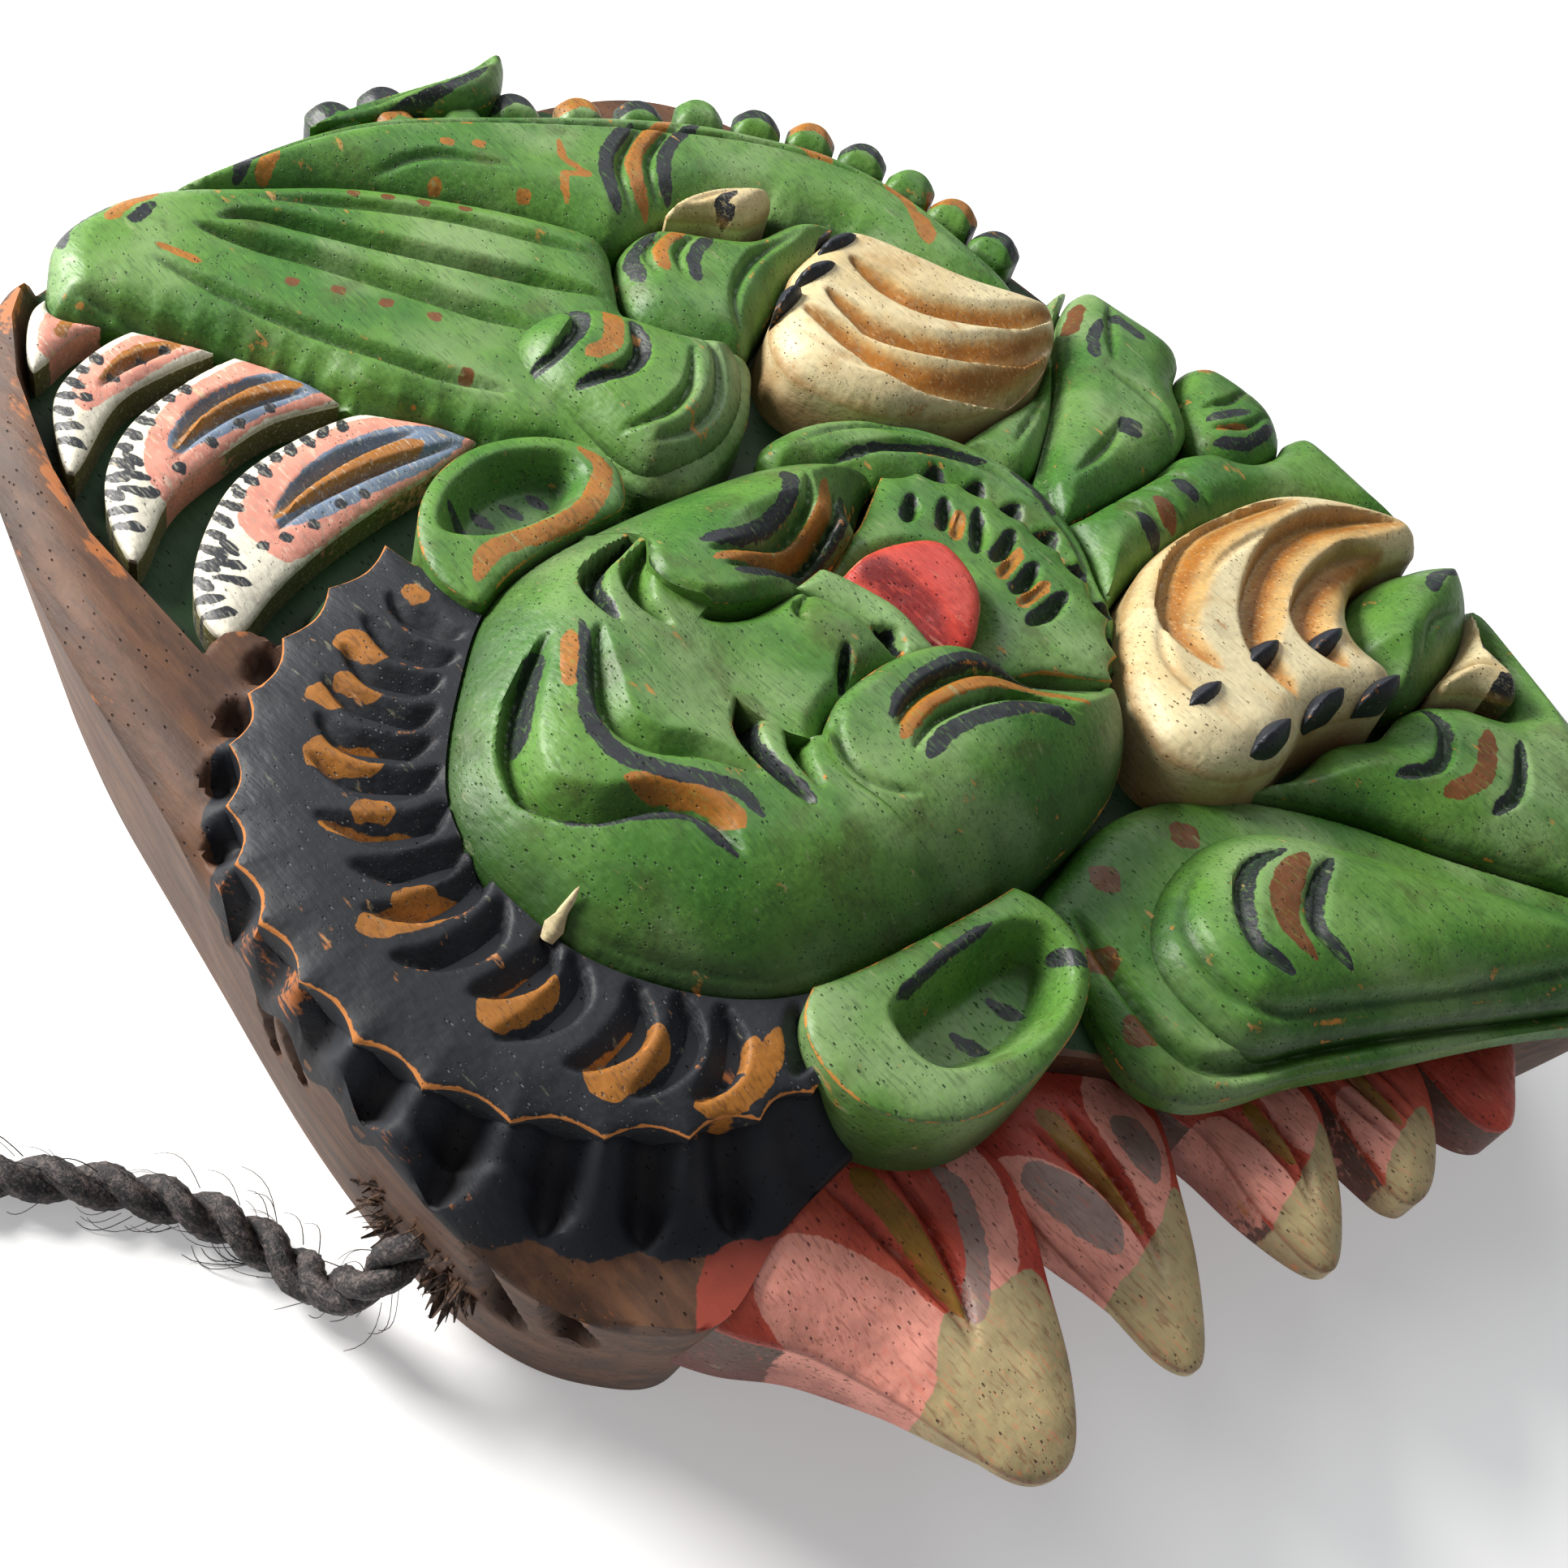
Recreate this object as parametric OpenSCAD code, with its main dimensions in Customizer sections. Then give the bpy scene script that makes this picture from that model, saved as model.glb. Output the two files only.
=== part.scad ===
// Carved and painted wooden wall plaque: a winged, horned-eared temple guardian in deep relief,
// with a twisted rope to hang it by. It lies on its flat back: +Z out of the relief, +Y to the hair.

/* [Block] */
// Height of the finished back board under the carving
board_h = 28; // [25:1:29]
// Height of the plain wooden rim above the hair and the raised wing
rim_h = 34; // [31:1:35]
// Size of the back face as a share of the front outline
back_share = 0.92; // [0.85:0.01:0.97]

/* [Relief heights above the back] */
// Top of the hair crown
hair_top = 36; // [33:1:38]
// Top of the forehead and cheeks
face_top = 44; // [41:1:46]
// Top of the nose
nose_top = 46; // [43:1:48]
// Top of the tongue
tongue_top = 41; // [38:1:44]
// Top of the beard collar
beard_top = 38; // [35:1:41]
// Rim of the ears
ear_top = 38; // [35:1:41]
// Top of the wing arms
wing_top = 36; // [33:1:39]
// Top of the wing knobs
knob_top = 40; // [37:1:42]
// Top of the raised wing's feathers
raised_feather_top = 33; // [30:1:35]
// Top of the lowered wing's feathers
lowered_feather_top = 24; // [22:1:27]
// Underside of the lowered wing's feathers
lowered_feather_base = 10; // [6:1:14]
// Top of the hands
hand_top = 40; // [37:1:42]
// Top of the claws
claw_top = 41; // [38:1:43]
// Top of the serpent limbs, chest and sash
limb_top = 37; // [34:1:39]

/* [Hanging rope] */
// Diameter of the rope
rope_d = 5.5; // [4:0.5:7]
// Radius of the rope hole in the block's upper edge
hole_r = 3.6; // [3:0.1:4]
// Depth of the rope hole
hole_depth = 16; // [10:1:20]
// Mean radius of the stored rope coil
coil_r = 28; // [26:1:32]

/* [Hidden] */
$fn = 48;
// The outlines below are laid out from the point midway between the ears, which lies here
layout = [-11, 32.5];
// Steps between two outline points
steps = 4;
// Extra reach of a cutting solid past the faces that it cuts
over = 1;

// ---- curves ----
// One point of a Catmull-Rom span
function blend(a, b, c, d, t) =
    0.5 * (2 * b + (c - a) * t + (2 * a - 5 * b + 4 * c - d) * t * t
           + (3 * b - a - 3 * c + d) * t * t * t);
// A closed smooth line through the points
function closed(p) = let (n = len(p)) [
    for (i = [0 : n - 1]) for (k = [0 : steps - 1])
        blend(p[(i + n - 1) % n], p[i], p[(i + 1) % n], p[(i + 2) % n], k / steps)
];
// An open smooth line through the points
function open_line(p, m) = let (n = len(p)) concat([
    for (i = [0 : n - 2]) for (k = [0 : m - 1])
        blend(p[max(i - 1, 0)], p[i], p[i + 1], p[min(i + 2, n - 1)], k / m)
], [p[n - 1]]);
// Gouge bites between the cusps of a scalloped edge, each sunk by depth to the line's left
function bites(p, depth) = [
    for (i = [0 : len(p) - 2]) for (k = [0 : steps - 1])
        let (a = p[i], b = p[i + 1], t = k / steps, side = [a.y - b.y, b.x - a.x] / norm(b - a))
        a + (b - a) * t + side * depth * sin(180 * t)
];

// ---- outlines, from the point midway between the ears ----
block_line = [
    [-47, 40], [-42, 46.5], [-36, 50.5], [-28, 53], [-19, 54], [-10, 54], [0, 53.3], [10, 52],
    [20, 50.5], [34, 48.5], [48, 46.5], [60, 44], [71, 41], [82, 36.5], [92, 30.5], [99, 24],
    [102.8, 17], [104.5, 10], [106, 3], [108, -8], [110, -20], [111.5, -32], [112.5, -48], [113.5, -64],
    [113.5, -76], [111, -88], [104, -96.5], [91, -103], [76, -111], [59, -114.5], [42, -115.5],
    [30, -115], [15, -117.5], [0, -118], [-20, -117], [-36, -114], [-50, -109], [-64, -103],
    [-78, -97], [-88, -92], [-92, -85], [-88, -74], [-79, -59], [-72, -46], [-66, -34], [-61, -23],
    [-54, -14], [-47, -6], [-44, 4], [-43, 16], [-44, 29]
];
// The hair's cusps, from its far end over the top to its near end
hair_cusps = [
    [40, 11.5], [37.5, 20.5], [34, 28.5], [29.5, 35.5], [25, 40.5], [19, 44.8], [13, 47.8],
    [6.5, 49.7], [-0.5, 50.3], [-8, 50], [-15, 48], [-22, 44], [-28, 38.5], [-32.5, 32.5],
    [-35, 26], [-36, 20], [-37, 14]
];
// The inner edge of the pocket: hair, then the rim's inner edge over the raised feathers
pocket_line = [
    [-120, 22], [-38, 22], [-36.5, 27], [-34, 34], [-29, 40.3], [-23, 46], [-15.5, 50], [-8, 52],
    [0, 52.3], [7, 51.6], [14, 49.6], [20.5, 46.3], [27, 41.5], [31, 36], [36, 34.4], [47, 34.5],
    [57, 34.7], [67, 33], [74, 31], [82, 28.5], [92, 23.5], [102, 15.5], [114, 8], [140, 0],
    [140, -140], [-120, -140]
];
mask_line = [
    [-6, 30], [1, 30.2], [8, 28], [14, 23.3], [20, 17], [25, 11], [28, 5], [29.5, -2], [30, -10],
    [30, -18], [29.5, -27], [28.5, -35], [26, -41.5], [21, -47], [10, -50], [-2, -51],
    [-12, -50.5], [-19, -48.5], [-24.5, -45], [-28.5, -39], [-31, -32], [-32, -24], [-32.5, -15],
    [-32, -7], [-31, 1], [-30, 8], [-28, 15], [-24, 21], [-18, 26], [-12, 29]
];
// The forehead ends above this block, where the cheeks, nose and lip take over
below_eyes = [[-40, -9.5], [40, -9.5], [40, -70], [-40, -70]];
left_cheek_line = [
    [-35, -8], [-26, -5], [-20, -3.7], [-14.5, -2.8], [-10, -5], [-7.2, -9], [-6.2, -14],
    [-6, -20], [-7, -25.5], [-9.6, -31], [-12.8, -36], [-16.5, -41], [-19.5, -46], [-22, -52],
    [-34, -46], [-38, -26]
];
right_cheek_line = [
    [8.6, -12], [10.4, -8], [13.3, -5.2], [17, -4.7], [22, -8.5], [32, -8], [36, -20], [33, -38],
    [22, -52], [18.5, -44.5], [14.5, -38], [11.5, -32], [9.6, -26], [8.3, -18]
];
nose_line = [
    [-9, -4], [-4, -1.5], [3, -1.5], [9, -4], [11, -10], [10.5, -17], [7.5, -20.5], [1.5, -22.3],
    [-2, -23.3], [-8.5, -22], [-9.5, -12]
];
lip_line = [
    [-9, -21.5], [0, -20], [8.5, -19.5], [9.5, -24.5], [4, -27.2], [0, -28.3], [-4, -27.8],
    [-9, -26.5]
];
tongue_line = [
    [-8.4, -31.5], [-6.8, -26.5], [0, -27], [6.6, -24.5], [8.4, -30], [8, -35], [5.8, -40.5],
    [2.2, -41], [-3, -39], [-6.6, -35]
];
// The beard collar's scalloped lower edge, then its smooth upper one
beard_cusps = [
    [-20, -47], [-17.5, -51], [-13, -55], [-7.5, -57.5], [-2, -58.7], [4, -58.7], [9, -58],
    [13.5, -56], [17.5, -52.5], [20.5, -46]
];
beard_back = [[14, -38], [12, -26], [-10, -26], [-14, -40]];
left_ear_line = [
    [-29.5, 15.5], [-34, 18.5], [-40, 18.5], [-45, 15], [-48, 9], [-48.2, 0], [-46.5, -7.5],
    [-42.5, -13], [-36, -14.3], [-31, -11], [-30, 0], [-28, 9]
];
right_ear_line = [
    [25, 9], [30, 11.2], [35, 10.5], [40, 7.5], [44, 2.5], [46, -3.5], [45.8, -9], [43.5, -14.5],
    [39, -18], [34.5, -17.5], [29.5, -13], [28, -5], [26, 3]
];
left_wing_line = [
    [-34.5, -18], [-40, -17], [-47, -13.5], [-54, -11.5], [-59, -14], [-62, -19], [-65, -27],
    [-69.5, -36], [-75, -48], [-80, -58], [-86, -68], [-92, -78], [-94, -86], [-87, -88.5],
    [-80, -84.5], [-70, -77.5], [-59, -69.5], [-49, -63], [-41, -56], [-35, -48.5], [-32, -41],
    [-31.2, -33], [-32.5, -25]
];
left_knob_line = [
    [-60, -23], [-54, -21.5], [-47, -23], [-42.5, -28.5], [-40.5, -36.5], [-41, -44], [-45, -51],
    [-53, -57.5], [-64, -66], [-76, -75], [-87, -82], [-85, -71], [-77, -56], [-70, -43], [-64, -31]
];
right_wing_line = [
    [33, -21], [39, -19.5], [45, -17.5], [50, -11.5], [56, -7.5], [62, -1], [68, 1], [74, 4.5],
    [80, 9.5], [86, 15], [91, 20.5], [97, 17.5], [102, 13], [105, 5], [105, -3], [102, -12],
    [97, -25], [89, -36.5], [80, -46], [74, -49.5], [67, -45.5], [60, -41.5], [53, -45], [47, -51],
    [41, -46.5], [36, -40.5], [32.5, -33], [31, -26]
];
right_knob_line = [
    [33.5, -23], [38, -20.8], [45, -20], [53, -19.5], [60, -22], [63, -28], [62, -34.5], [58, -39],
    [52, -43.5], [47.5, -48.5], [42, -45.5], [37, -39.5], [33.8, -32]
];
// The first lowered feather stops here, where the block's corner begins
pocket_edge_cut = [[-36.5, 60], [-36.5, 20], [-20, 20], [-20, 60]];
left_feather_lines = [
    [[-74, 19], [-72.5, 24], [-66, 26.5], [-59, 28.5], [-52, 32], [-46, 37], [-40, 38], [-38, 24],
     [-41, 8], [-50, 2.5], [-56, 4], [-62, 8], [-69, 13]],
    [[-77, 1.5], [-74.5, 4.5], [-67, 4.5], [-60, 4.5], [-53, 4], [-46, 3], [-40, 0], [-41, -12],
     [-50, -16.5], [-57, -17], [-64, -12], [-71, -6]],
    [[-80.5, -19], [-78.5, -16.5], [-71, -17], [-63, -19], [-56, -18], [-48, -18], [-46, -26],
     [-54, -33], [-66, -34.5], [-71.5, -31], [-76.5, -26]],
    [[-82.5, -36], [-81.5, -31.5], [-75, -33], [-67, -35.5], [-60, -34], [-60, -42], [-68, -49],
     [-74, -48], [-79, -43]],
    [[-85, -51], [-82, -48], [-75, -48.8], [-68, -50.5], [-68, -58], [-78, -62.5], [-82.5, -57]]
];
right_feather_lines = [
    [[38.5, 31], [42, 32.3], [47.5, 30], [53.5, 24.5], [58.5, 17.5], [61, 8.5], [61.5, -1], [58, -9],
     [52.5, -12], [49.6, -3], [48, 5.5], [45.5, 15], [42.3, 23.5]],
    [[52.5, 33.3], [59, 32.5], [65.5, 29], [71, 23], [74, 16], [76, 8], [75.5, 2], [70.5, -2],
     [64.5, -2], [65, 8], [63, 16], [59.5, 25]],
    [[67, 31.8], [73, 30.4], [79, 27], [83, 21], [85, 14.5], [84, 9], [81, 5], [78.5, 5],
     [77.5, 13], [75, 22]],
    [[83.5, 27], [88.5, 25], [93.5, 21], [93.5, 17], [89.5, 12], [87.5, 13], [87, 20]]
];
chest_line = [
    [31, -38], [33, -46], [31, -54], [26, -61], [18, -66.5], [8, -68.5], [-1, -66], [-8, -61.5],
    [-18, -55], [-14, -46], [4, -46], [20, -40]
];
belly_line = [
    [-11, -57], [-2, -65], [4, -69], [5, -80], [4, -92], [0, -102], [-4, -108], [-4, -117],
    [-18, -116], [-26, -114.5], [-22, -111], [-14, -102], [-9.5, -95], [-8, -85], [-8, -72],
    [-9.5, -64]
];
sash_line = [
    [3, -66], [9, -69], [14, -77], [20, -87], [27, -96], [33, -104], [35, -112], [28, -114],
    [18, -114.5], [13, -107], [6, -101], [3, -92], [2.5, -79]
];
stub_line = [
    [-3, -103], [2, -99.5], [7, -102], [12, -107], [15.5, -112.5], [14, -117.5], [7.5, -119],
    [1, -118], [-4, -112]
];
left_hand_line = [
    [-39.5, -56], [-37, -48], [-31, -44.5], [-26, -46], [-20, -50], [-14, -57], [-10, -65],
    [-8.3, -74], [-8.3, -86], [-10.5, -97], [-16, -105], [-24, -111], [-29, -108], [-27, -98],
    [-29, -89], [-34, -82.5], [-40, -82], [-42.5, -77], [-40, -71], [-38.5, -64]
];
// Lower ends of the left hand's nails, each nail a leaf shape above it
left_nails = [[-37, -60], [-28.5, -57], [-38, -71], [-28.5, -70], [-41, -80], [-32, -80]];
ball_line = [
    [-43.5, -84], [-39, -81.5], [-34, -82.5], [-30, -88], [-27.5, -97], [-29, -107], [-33, -113],
    [-39, -109], [-43, -98]
];
left_claw_line = [
    [-44.5, -89], [-47.5, -93], [-52, -96.5], [-50, -100], [-45, -101], [-41.5, -106],
    [-38.5, -108], [-41, -98]
];
right_hand_line = [
    [38, -52], [44, -53], [49, -57], [52.5, -63], [56, -68], [58, -74], [59.5, -80], [57, -84],
    [50, -88], [43, -91.5], [36, -97], [31, -98.5], [26, -92], [23, -84], [22.3, -73], [24, -65],
    [29, -57]
];
right_nails = [[49.5, -63], [51.5, -72], [57.5, -69.5], [55, -80], [60, -80]];
right_claw_line = [
    [73.5, -60.5], [75, -64], [74.5, -71], [71, -78], [68, -75], [67.3, -68.5], [70.5, -66]
];
left_limb_line = [
    [-37, -52], [-41, -60], [-41, -70], [-44, -77], [-43.5, -84], [-46, -91], [-53, -97],
    [-50, -104], [-41, -108], [-39, -112.5], [-50, -108.5], [-64, -102.5], [-76, -97], [-86, -92],
    [-80, -85], [-70, -78], [-59, -70], [-49, -63.5]
];
inner_limb_line = [
    [47.5, -51], [53, -46], [60, -43], [67, -46], [72.5, -51.5], [74, -58], [70, -64], [66.5, -70],
    [67, -80], [62, -86], [60, -79], [58, -71], [53, -62], [50, -56]
];
outer_limb_line = [
    [106, -4], [108, -12], [110, -24], [110.5, -33], [109.5, -41], [107, -49.5], [104, -58],
    [101, -66.5], [97.5, -75], [93, -83.5], [87, -91], [79.5, -98.5], [70, -103], [60, -104.5],
    [50, -104], [42, -103], [36, -99], [44, -92.5], [52, -88.5], [60, -86.5], [66, -81], [70, -78],
    [75, -71], [75.5, -62], [74, -52], [81, -46.5], [90, -36.5], [98, -25], [103, -13]
];
thigh_line = [
    [12, -70], [20, -65], [22, -74], [23, -86], [27, -94], [33, -101], [37, -106], [38, -113],
    [34, -106], [27, -96], [20, -87], [14, -77]
];
// The crest's lobes run along this line, from behind the fin round to the sash
crest_run = [
    [112, -34], [112, -42], [109.5, -51.5], [106.5, -61], [103.5, -70], [100, -79], [95.5, -88],
    [90, -95.5], [84, -102], [76.5, -106.5], [68, -109], [59.5, -110], [50.5, -110], [42, -110]
];
crest_step = 1;
lobe_length = 8.4;
lobe_width = 7.2;
fin_line = [
    [110.5, -28], [112.5, -36], [113.5, -46], [114.5, -56], [116.5, -65], [112, -62.5], [108, -58],
    [106.5, -52], [109, -44], [110.5, -36]
];

// ---- rope, laid out from the same point ----
rope_r = rope_d / 2;
hole_x = -19.5;
hole_y = 50;
hole_z = 13;
rope_start = 3;
rope_route = [
    [hole_x, hole_y - rope_start, hole_z], [-19.5, 51, 12.5], [-18.5, 54.5, 9], [-15, 56, 5],
    [-10, 56.5, rope_r], [-4, 58.5, rope_r], [2, 62, rope_r], [7.5, 66.5, rope_r],
    [13, 72.5, rope_r], [18, 79, rope_r], [22.5, 86, rope_r], [26, 93, rope_r],
    [27.7, 99, rope_r], [28, 104, rope_r]
];
rope_route_end = [rope_route[len(rope_route) - 1].x, rope_route[len(rope_route) - 1].y];
rope_sides = 8;
rings_per_span = 3;
// Half the coil's width across its turns
coil_half = rope_d;
// The route ends on the centreline of the coil's outer turn
coil_centre = rope_route_end + [coil_r + coil_half - rope_r, 0];
knot_r = 5;

// ---- building blocks ----
module plate(line, z0, z1) {
    translate([layout.x, layout.y, z0]) linear_extrude(z1 - z0) polygon(line);
}

module cutter(line) {
    plate(line, board_h - over, nose_top + 10);
}

module leaf(tip, z0, z1) {
    nail = [tip, tip + [1.7, 3], tip + [1.6, 6], tip + [0, 8.6], tip + [-1.4, 6], tip + [-1.5, 3]];
    plate(closed(nail), z0, z1);
}

module wedge_lobe(at, ahead) {
    turn = atan2(ahead.y - at.y, ahead.x - at.x);
    translate([layout.x + at.x, layout.y + at.y, board_h]) rotate(turn)
        translate([-lobe_width / 2, -lobe_length / 2, 0])
            cube([lobe_width, lobe_length, limb_top - board_h - 3]);
}

// A tube of n sides along the points
function direction(p, i) =
    let (d = p[min(i + 1, len(p) - 1)] - p[max(i - 1, 0)]) d / norm(d);
function ring(p, i, r, n) =
    let (d = direction(p, i), flat = [d.y, -d.x, 0], a = flat / norm(flat), b = cross(d, a))
    [for (k = [0 : n - 1]) p[i] + r * (cos(360 * k / n) * a + sin(360 * k / n) * b)];

module tube(p, r, n) {
    m = len(p);
    points = [for (i = [0 : m - 1]) each ring(p, i, r, n)];
    walls = [
        for (i = [0 : m - 2]) for (k = [0 : n - 1])
            [i * n + k, (i + 1) * n + k, (i + 1) * n + (k + 1) % n, i * n + (k + 1) % n]
    ];
    near_end = [for (k = [0 : n - 1]) k];
    far_end = [for (k = [n - 1 : -1 : 0]) (m - 1) * n + k];
    polyhedron(points, concat(walls, [near_end, far_end]));
}

// ---- sub-parts ----
module block_body() {
    linear_extrude(rim_h, scale = 1 / back_share)
        scale(back_share) translate(layout) polygon(closed(block_line));
}

module back_block() color([0.36, 0.29, 0.25]) difference() {
    block_body();
    plate(pocket_line, board_h, rim_h + over);
    translate([layout.x + hole_x, layout.y + hole_y + over, hole_z])
        rotate([90, 0, 0]) cylinder(r = hole_r, h = hole_depth);
}

module hair_crown() color([0.13, 0.15, 0.18]) difference() {
    plate(concat(bites(hair_cusps, 1.3), [[-27, 8], [24, 8]]), board_h, hair_top);
    cutter(closed(mask_line));
    cutter(closed(left_ear_line));
    cutter(closed(right_ear_line));
}

module forehead() color([0.30, 0.53, 0.27]) difference() {
    plate(closed(mask_line), board_h, face_top);
    cutter(closed(left_cheek_line));
    cutter(closed(right_cheek_line));
    cutter(closed(nose_line));
    cutter(below_eyes);
}
module cheek(line) color([0.30, 0.53, 0.27]) intersection() {
    plate(closed(mask_line), board_h, face_top);
    cutter(closed(line));
}

module left_cheek() cheek(left_cheek_line);

module right_cheek() cheek(right_cheek_line);

module nose() color([0.30, 0.53, 0.27]) difference() {
    plate(closed(nose_line), board_h, nose_top);
    cutter(closed(left_cheek_line));
    cutter(closed(right_cheek_line));
}

module upper_lip() color([0.42, 0.62, 0.38]) difference() {
    plate(closed(lip_line), board_h, face_top);
    cutter(closed(nose_line));
    cutter(closed(left_cheek_line));
    cutter(closed(right_cheek_line));
}

module tongue() color([0.82, 0.25, 0.22]) difference() {
    plate(closed(tongue_line), board_h, tongue_top);
    cutter(closed(lip_line));
    cutter(closed(left_cheek_line));
    cutter(closed(right_cheek_line));
}

module beard_collar() color([0.30, 0.53, 0.27]) difference() {
    plate(concat(bites(beard_cusps, 1), beard_back), board_h, beard_top);
    cutter(closed(left_cheek_line));
    cutter(closed(right_cheek_line));
    cutter(closed(tongue_line));
    cutter(closed(lip_line));
}

module ear(line, cup) color([0.30, 0.53, 0.27]) difference() {
    plate(closed(line), board_h, ear_top);
    cutter(closed(mask_line));
    translate([layout.x + cup.x, layout.y + cup.y, ear_top - 7]) cylinder(r = 5.5, h = 10);
}

module left_ear() ear(left_ear_line, [-40.3, 0]);

module right_ear() ear(right_ear_line, [38.3, -4.5]);

module left_wing_arm() color([0.28, 0.50, 0.26]) difference() {
    plate(closed(left_wing_line), board_h, wing_top - 4);
    cutter(closed(left_knob_line));
    cutter(closed(mask_line));
    cutter(closed(left_ear_line));
}

module left_wing_knob() color([0.30, 0.53, 0.27])
    plate(closed(left_knob_line), board_h, knob_top - 2);

module right_wing_arm() color([0.42, 0.60, 0.38]) difference() {
    plate(closed(right_wing_line), board_h, wing_top);
    cutter(closed(right_knob_line));
    cutter(closed(right_ear_line));
    cutter(closed(mask_line));
}

module right_wing_knob() color([0.33, 0.55, 0.30])
    plate(closed(right_knob_line), board_h, knob_top);

module left_feather(i) color([0.85, 0.45, 0.38]) difference() {
    plate(closed(left_feather_lines[i]), lowered_feather_base, lowered_feather_top);
    block_body();
    cutter(closed(left_wing_line));
    cutter(closed(left_ear_line));
    cutter(pocket_edge_cut);
}
module right_feather(i) color([0.93, 0.90, 0.80]) difference() {
    plate(closed(right_feather_lines[i]), board_h, raised_feather_top);
    cutter(closed(right_wing_line));
    cutter(closed(right_ear_line));
}

module chest_ring() color([0.30, 0.53, 0.27]) difference() {
    plate(closed(chest_line), board_h, limb_top);
    cutter(concat(bites(beard_cusps, 0), beard_back));
    cutter(closed(mask_line));
    cutter(closed(right_wing_line));
    cutter(closed(right_hand_line));
    cutter(closed(left_hand_line));
}

module belly() color([0.30, 0.53, 0.27]) difference() {
    plate(closed(belly_line), board_h, limb_top);
    cutter(closed(chest_line));
    cutter(closed(left_hand_line));
    cutter(closed(stub_line));
    cutter(closed(sash_line));
}

module sash() color([0.36, 0.52, 0.28]) difference() {
    plate(closed(sash_line), board_h, limb_top);
    cutter(closed(chest_line));
    cutter(closed(stub_line));
}

module tail_stub() color([0.30, 0.53, 0.27]) plate(closed(stub_line), board_h, limb_top - 1);

module left_hand() color([0.93, 0.88, 0.72]) difference() {
    plate(closed(left_hand_line), board_h, hand_top);
    for (tip = left_nails) leaf(tip, hand_top - 4, hand_top + over);
}

module left_claws() color([0.12, 0.13, 0.15]) intersection() {
    union() for (tip = left_nails) leaf(tip, hand_top - 4, claw_top);
    cutter(closed(left_hand_line));
}

module grip_ball() color([0.27, 0.47, 0.25]) difference() {
    plate(closed(ball_line), board_h, hand_top);
    cutter(closed(left_hand_line));
}

module left_thumb_claw() color([0.93, 0.88, 0.72]) difference() {
    plate(closed(left_claw_line), board_h, limb_top + 1);
    cutter(closed(ball_line));
    cutter(closed(left_hand_line));
}

module right_hand() color([0.93, 0.88, 0.72]) difference() {
    plate(closed(right_hand_line), board_h, hand_top);
    for (tip = right_nails) leaf(tip, hand_top - 4, hand_top + over);
}

module right_claws() color([0.12, 0.13, 0.15]) intersection() {
    union() for (tip = right_nails) leaf(tip, hand_top - 4, claw_top);
    cutter(closed(right_hand_line));
}

module right_thumb_claw() color([0.93, 0.88, 0.72]) plate(closed(right_claw_line), board_h, limb_top + 2);

module left_limb() color([0.27, 0.47, 0.25]) difference() {
    plate(closed(left_limb_line), board_h, limb_top - 1);
    cutter(closed(left_wing_line));
    cutter(closed(left_hand_line));
    cutter(closed(ball_line));
    cutter(closed(left_claw_line));
}

module right_inner_limb() color([0.33, 0.55, 0.30]) difference() {
    plate(closed(inner_limb_line), board_h, limb_top);
    cutter(closed(right_wing_line));
    cutter(closed(right_hand_line));
    cutter(closed(right_claw_line));
}

module right_outer_limb() color([0.36, 0.56, 0.33]) difference() {
    plate(closed(outer_limb_line), board_h, limb_top);
    cutter(closed(right_wing_line));
    cutter(closed(right_hand_line));
    cutter(closed(inner_limb_line));
    cutter(closed(right_claw_line));
}

module right_thigh() color([0.30, 0.53, 0.27]) difference() {
    plate(closed(thigh_line), board_h, limb_top - 2);
    cutter(closed(chest_line));
    cutter(closed(right_hand_line));
    cutter(closed(sash_line));
}

module crest_lobes() color([0.20, 0.30, 0.22]) difference() {
    run = open_line(crest_run, crest_step);
    union() for (i = [0 : len(run) - 2]) wedge_lobe(run[i], run[i + 1]);
    cutter(closed(outer_limb_line));
    cutter(closed(right_hand_line));
    cutter(closed(thigh_line));
    cutter(closed(fin_line));
    cutter(closed(sash_line));
}

module fin() color([0.20, 0.30, 0.22]) difference() {
    plate(closed(fin_line), board_h, limb_top);
    cutter(closed(outer_limb_line));
}

module rope_tuft() color([0.30, 0.20, 0.14])
    translate([layout.x + hole_x, layout.y + hole_y - rope_start, hole_z])
        rotate([90, 0, 0]) cylinder(r = hole_r - 0.2, h = hole_depth - rope_start - 2);

module rope() color([0.10, 0.10, 0.11]) difference() {
    translate(layout) tube(open_line(rope_route, rings_per_span), rope_r, rope_sides);
    translate([layout.x + coil_centre.x, layout.y + coil_centre.y, -over])
        cylinder(r = coil_r + coil_half, h = rope_d + 2 * over);
}

module rope_coil() color([0.10, 0.10, 0.11])
    translate([layout.x + coil_centre.x, layout.y + coil_centre.y, 0])
        rotate_extrude() translate([coil_r - coil_half, 0]) square([2 * coil_half, rope_d]);

module rope_end_knot() color([0.10, 0.10, 0.11])
    translate([layout.x + coil_centre.x + coil_r - coil_half - knot_r, layout.y + coil_centre.y, knot_r])
        sphere(r = knot_r);

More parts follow.
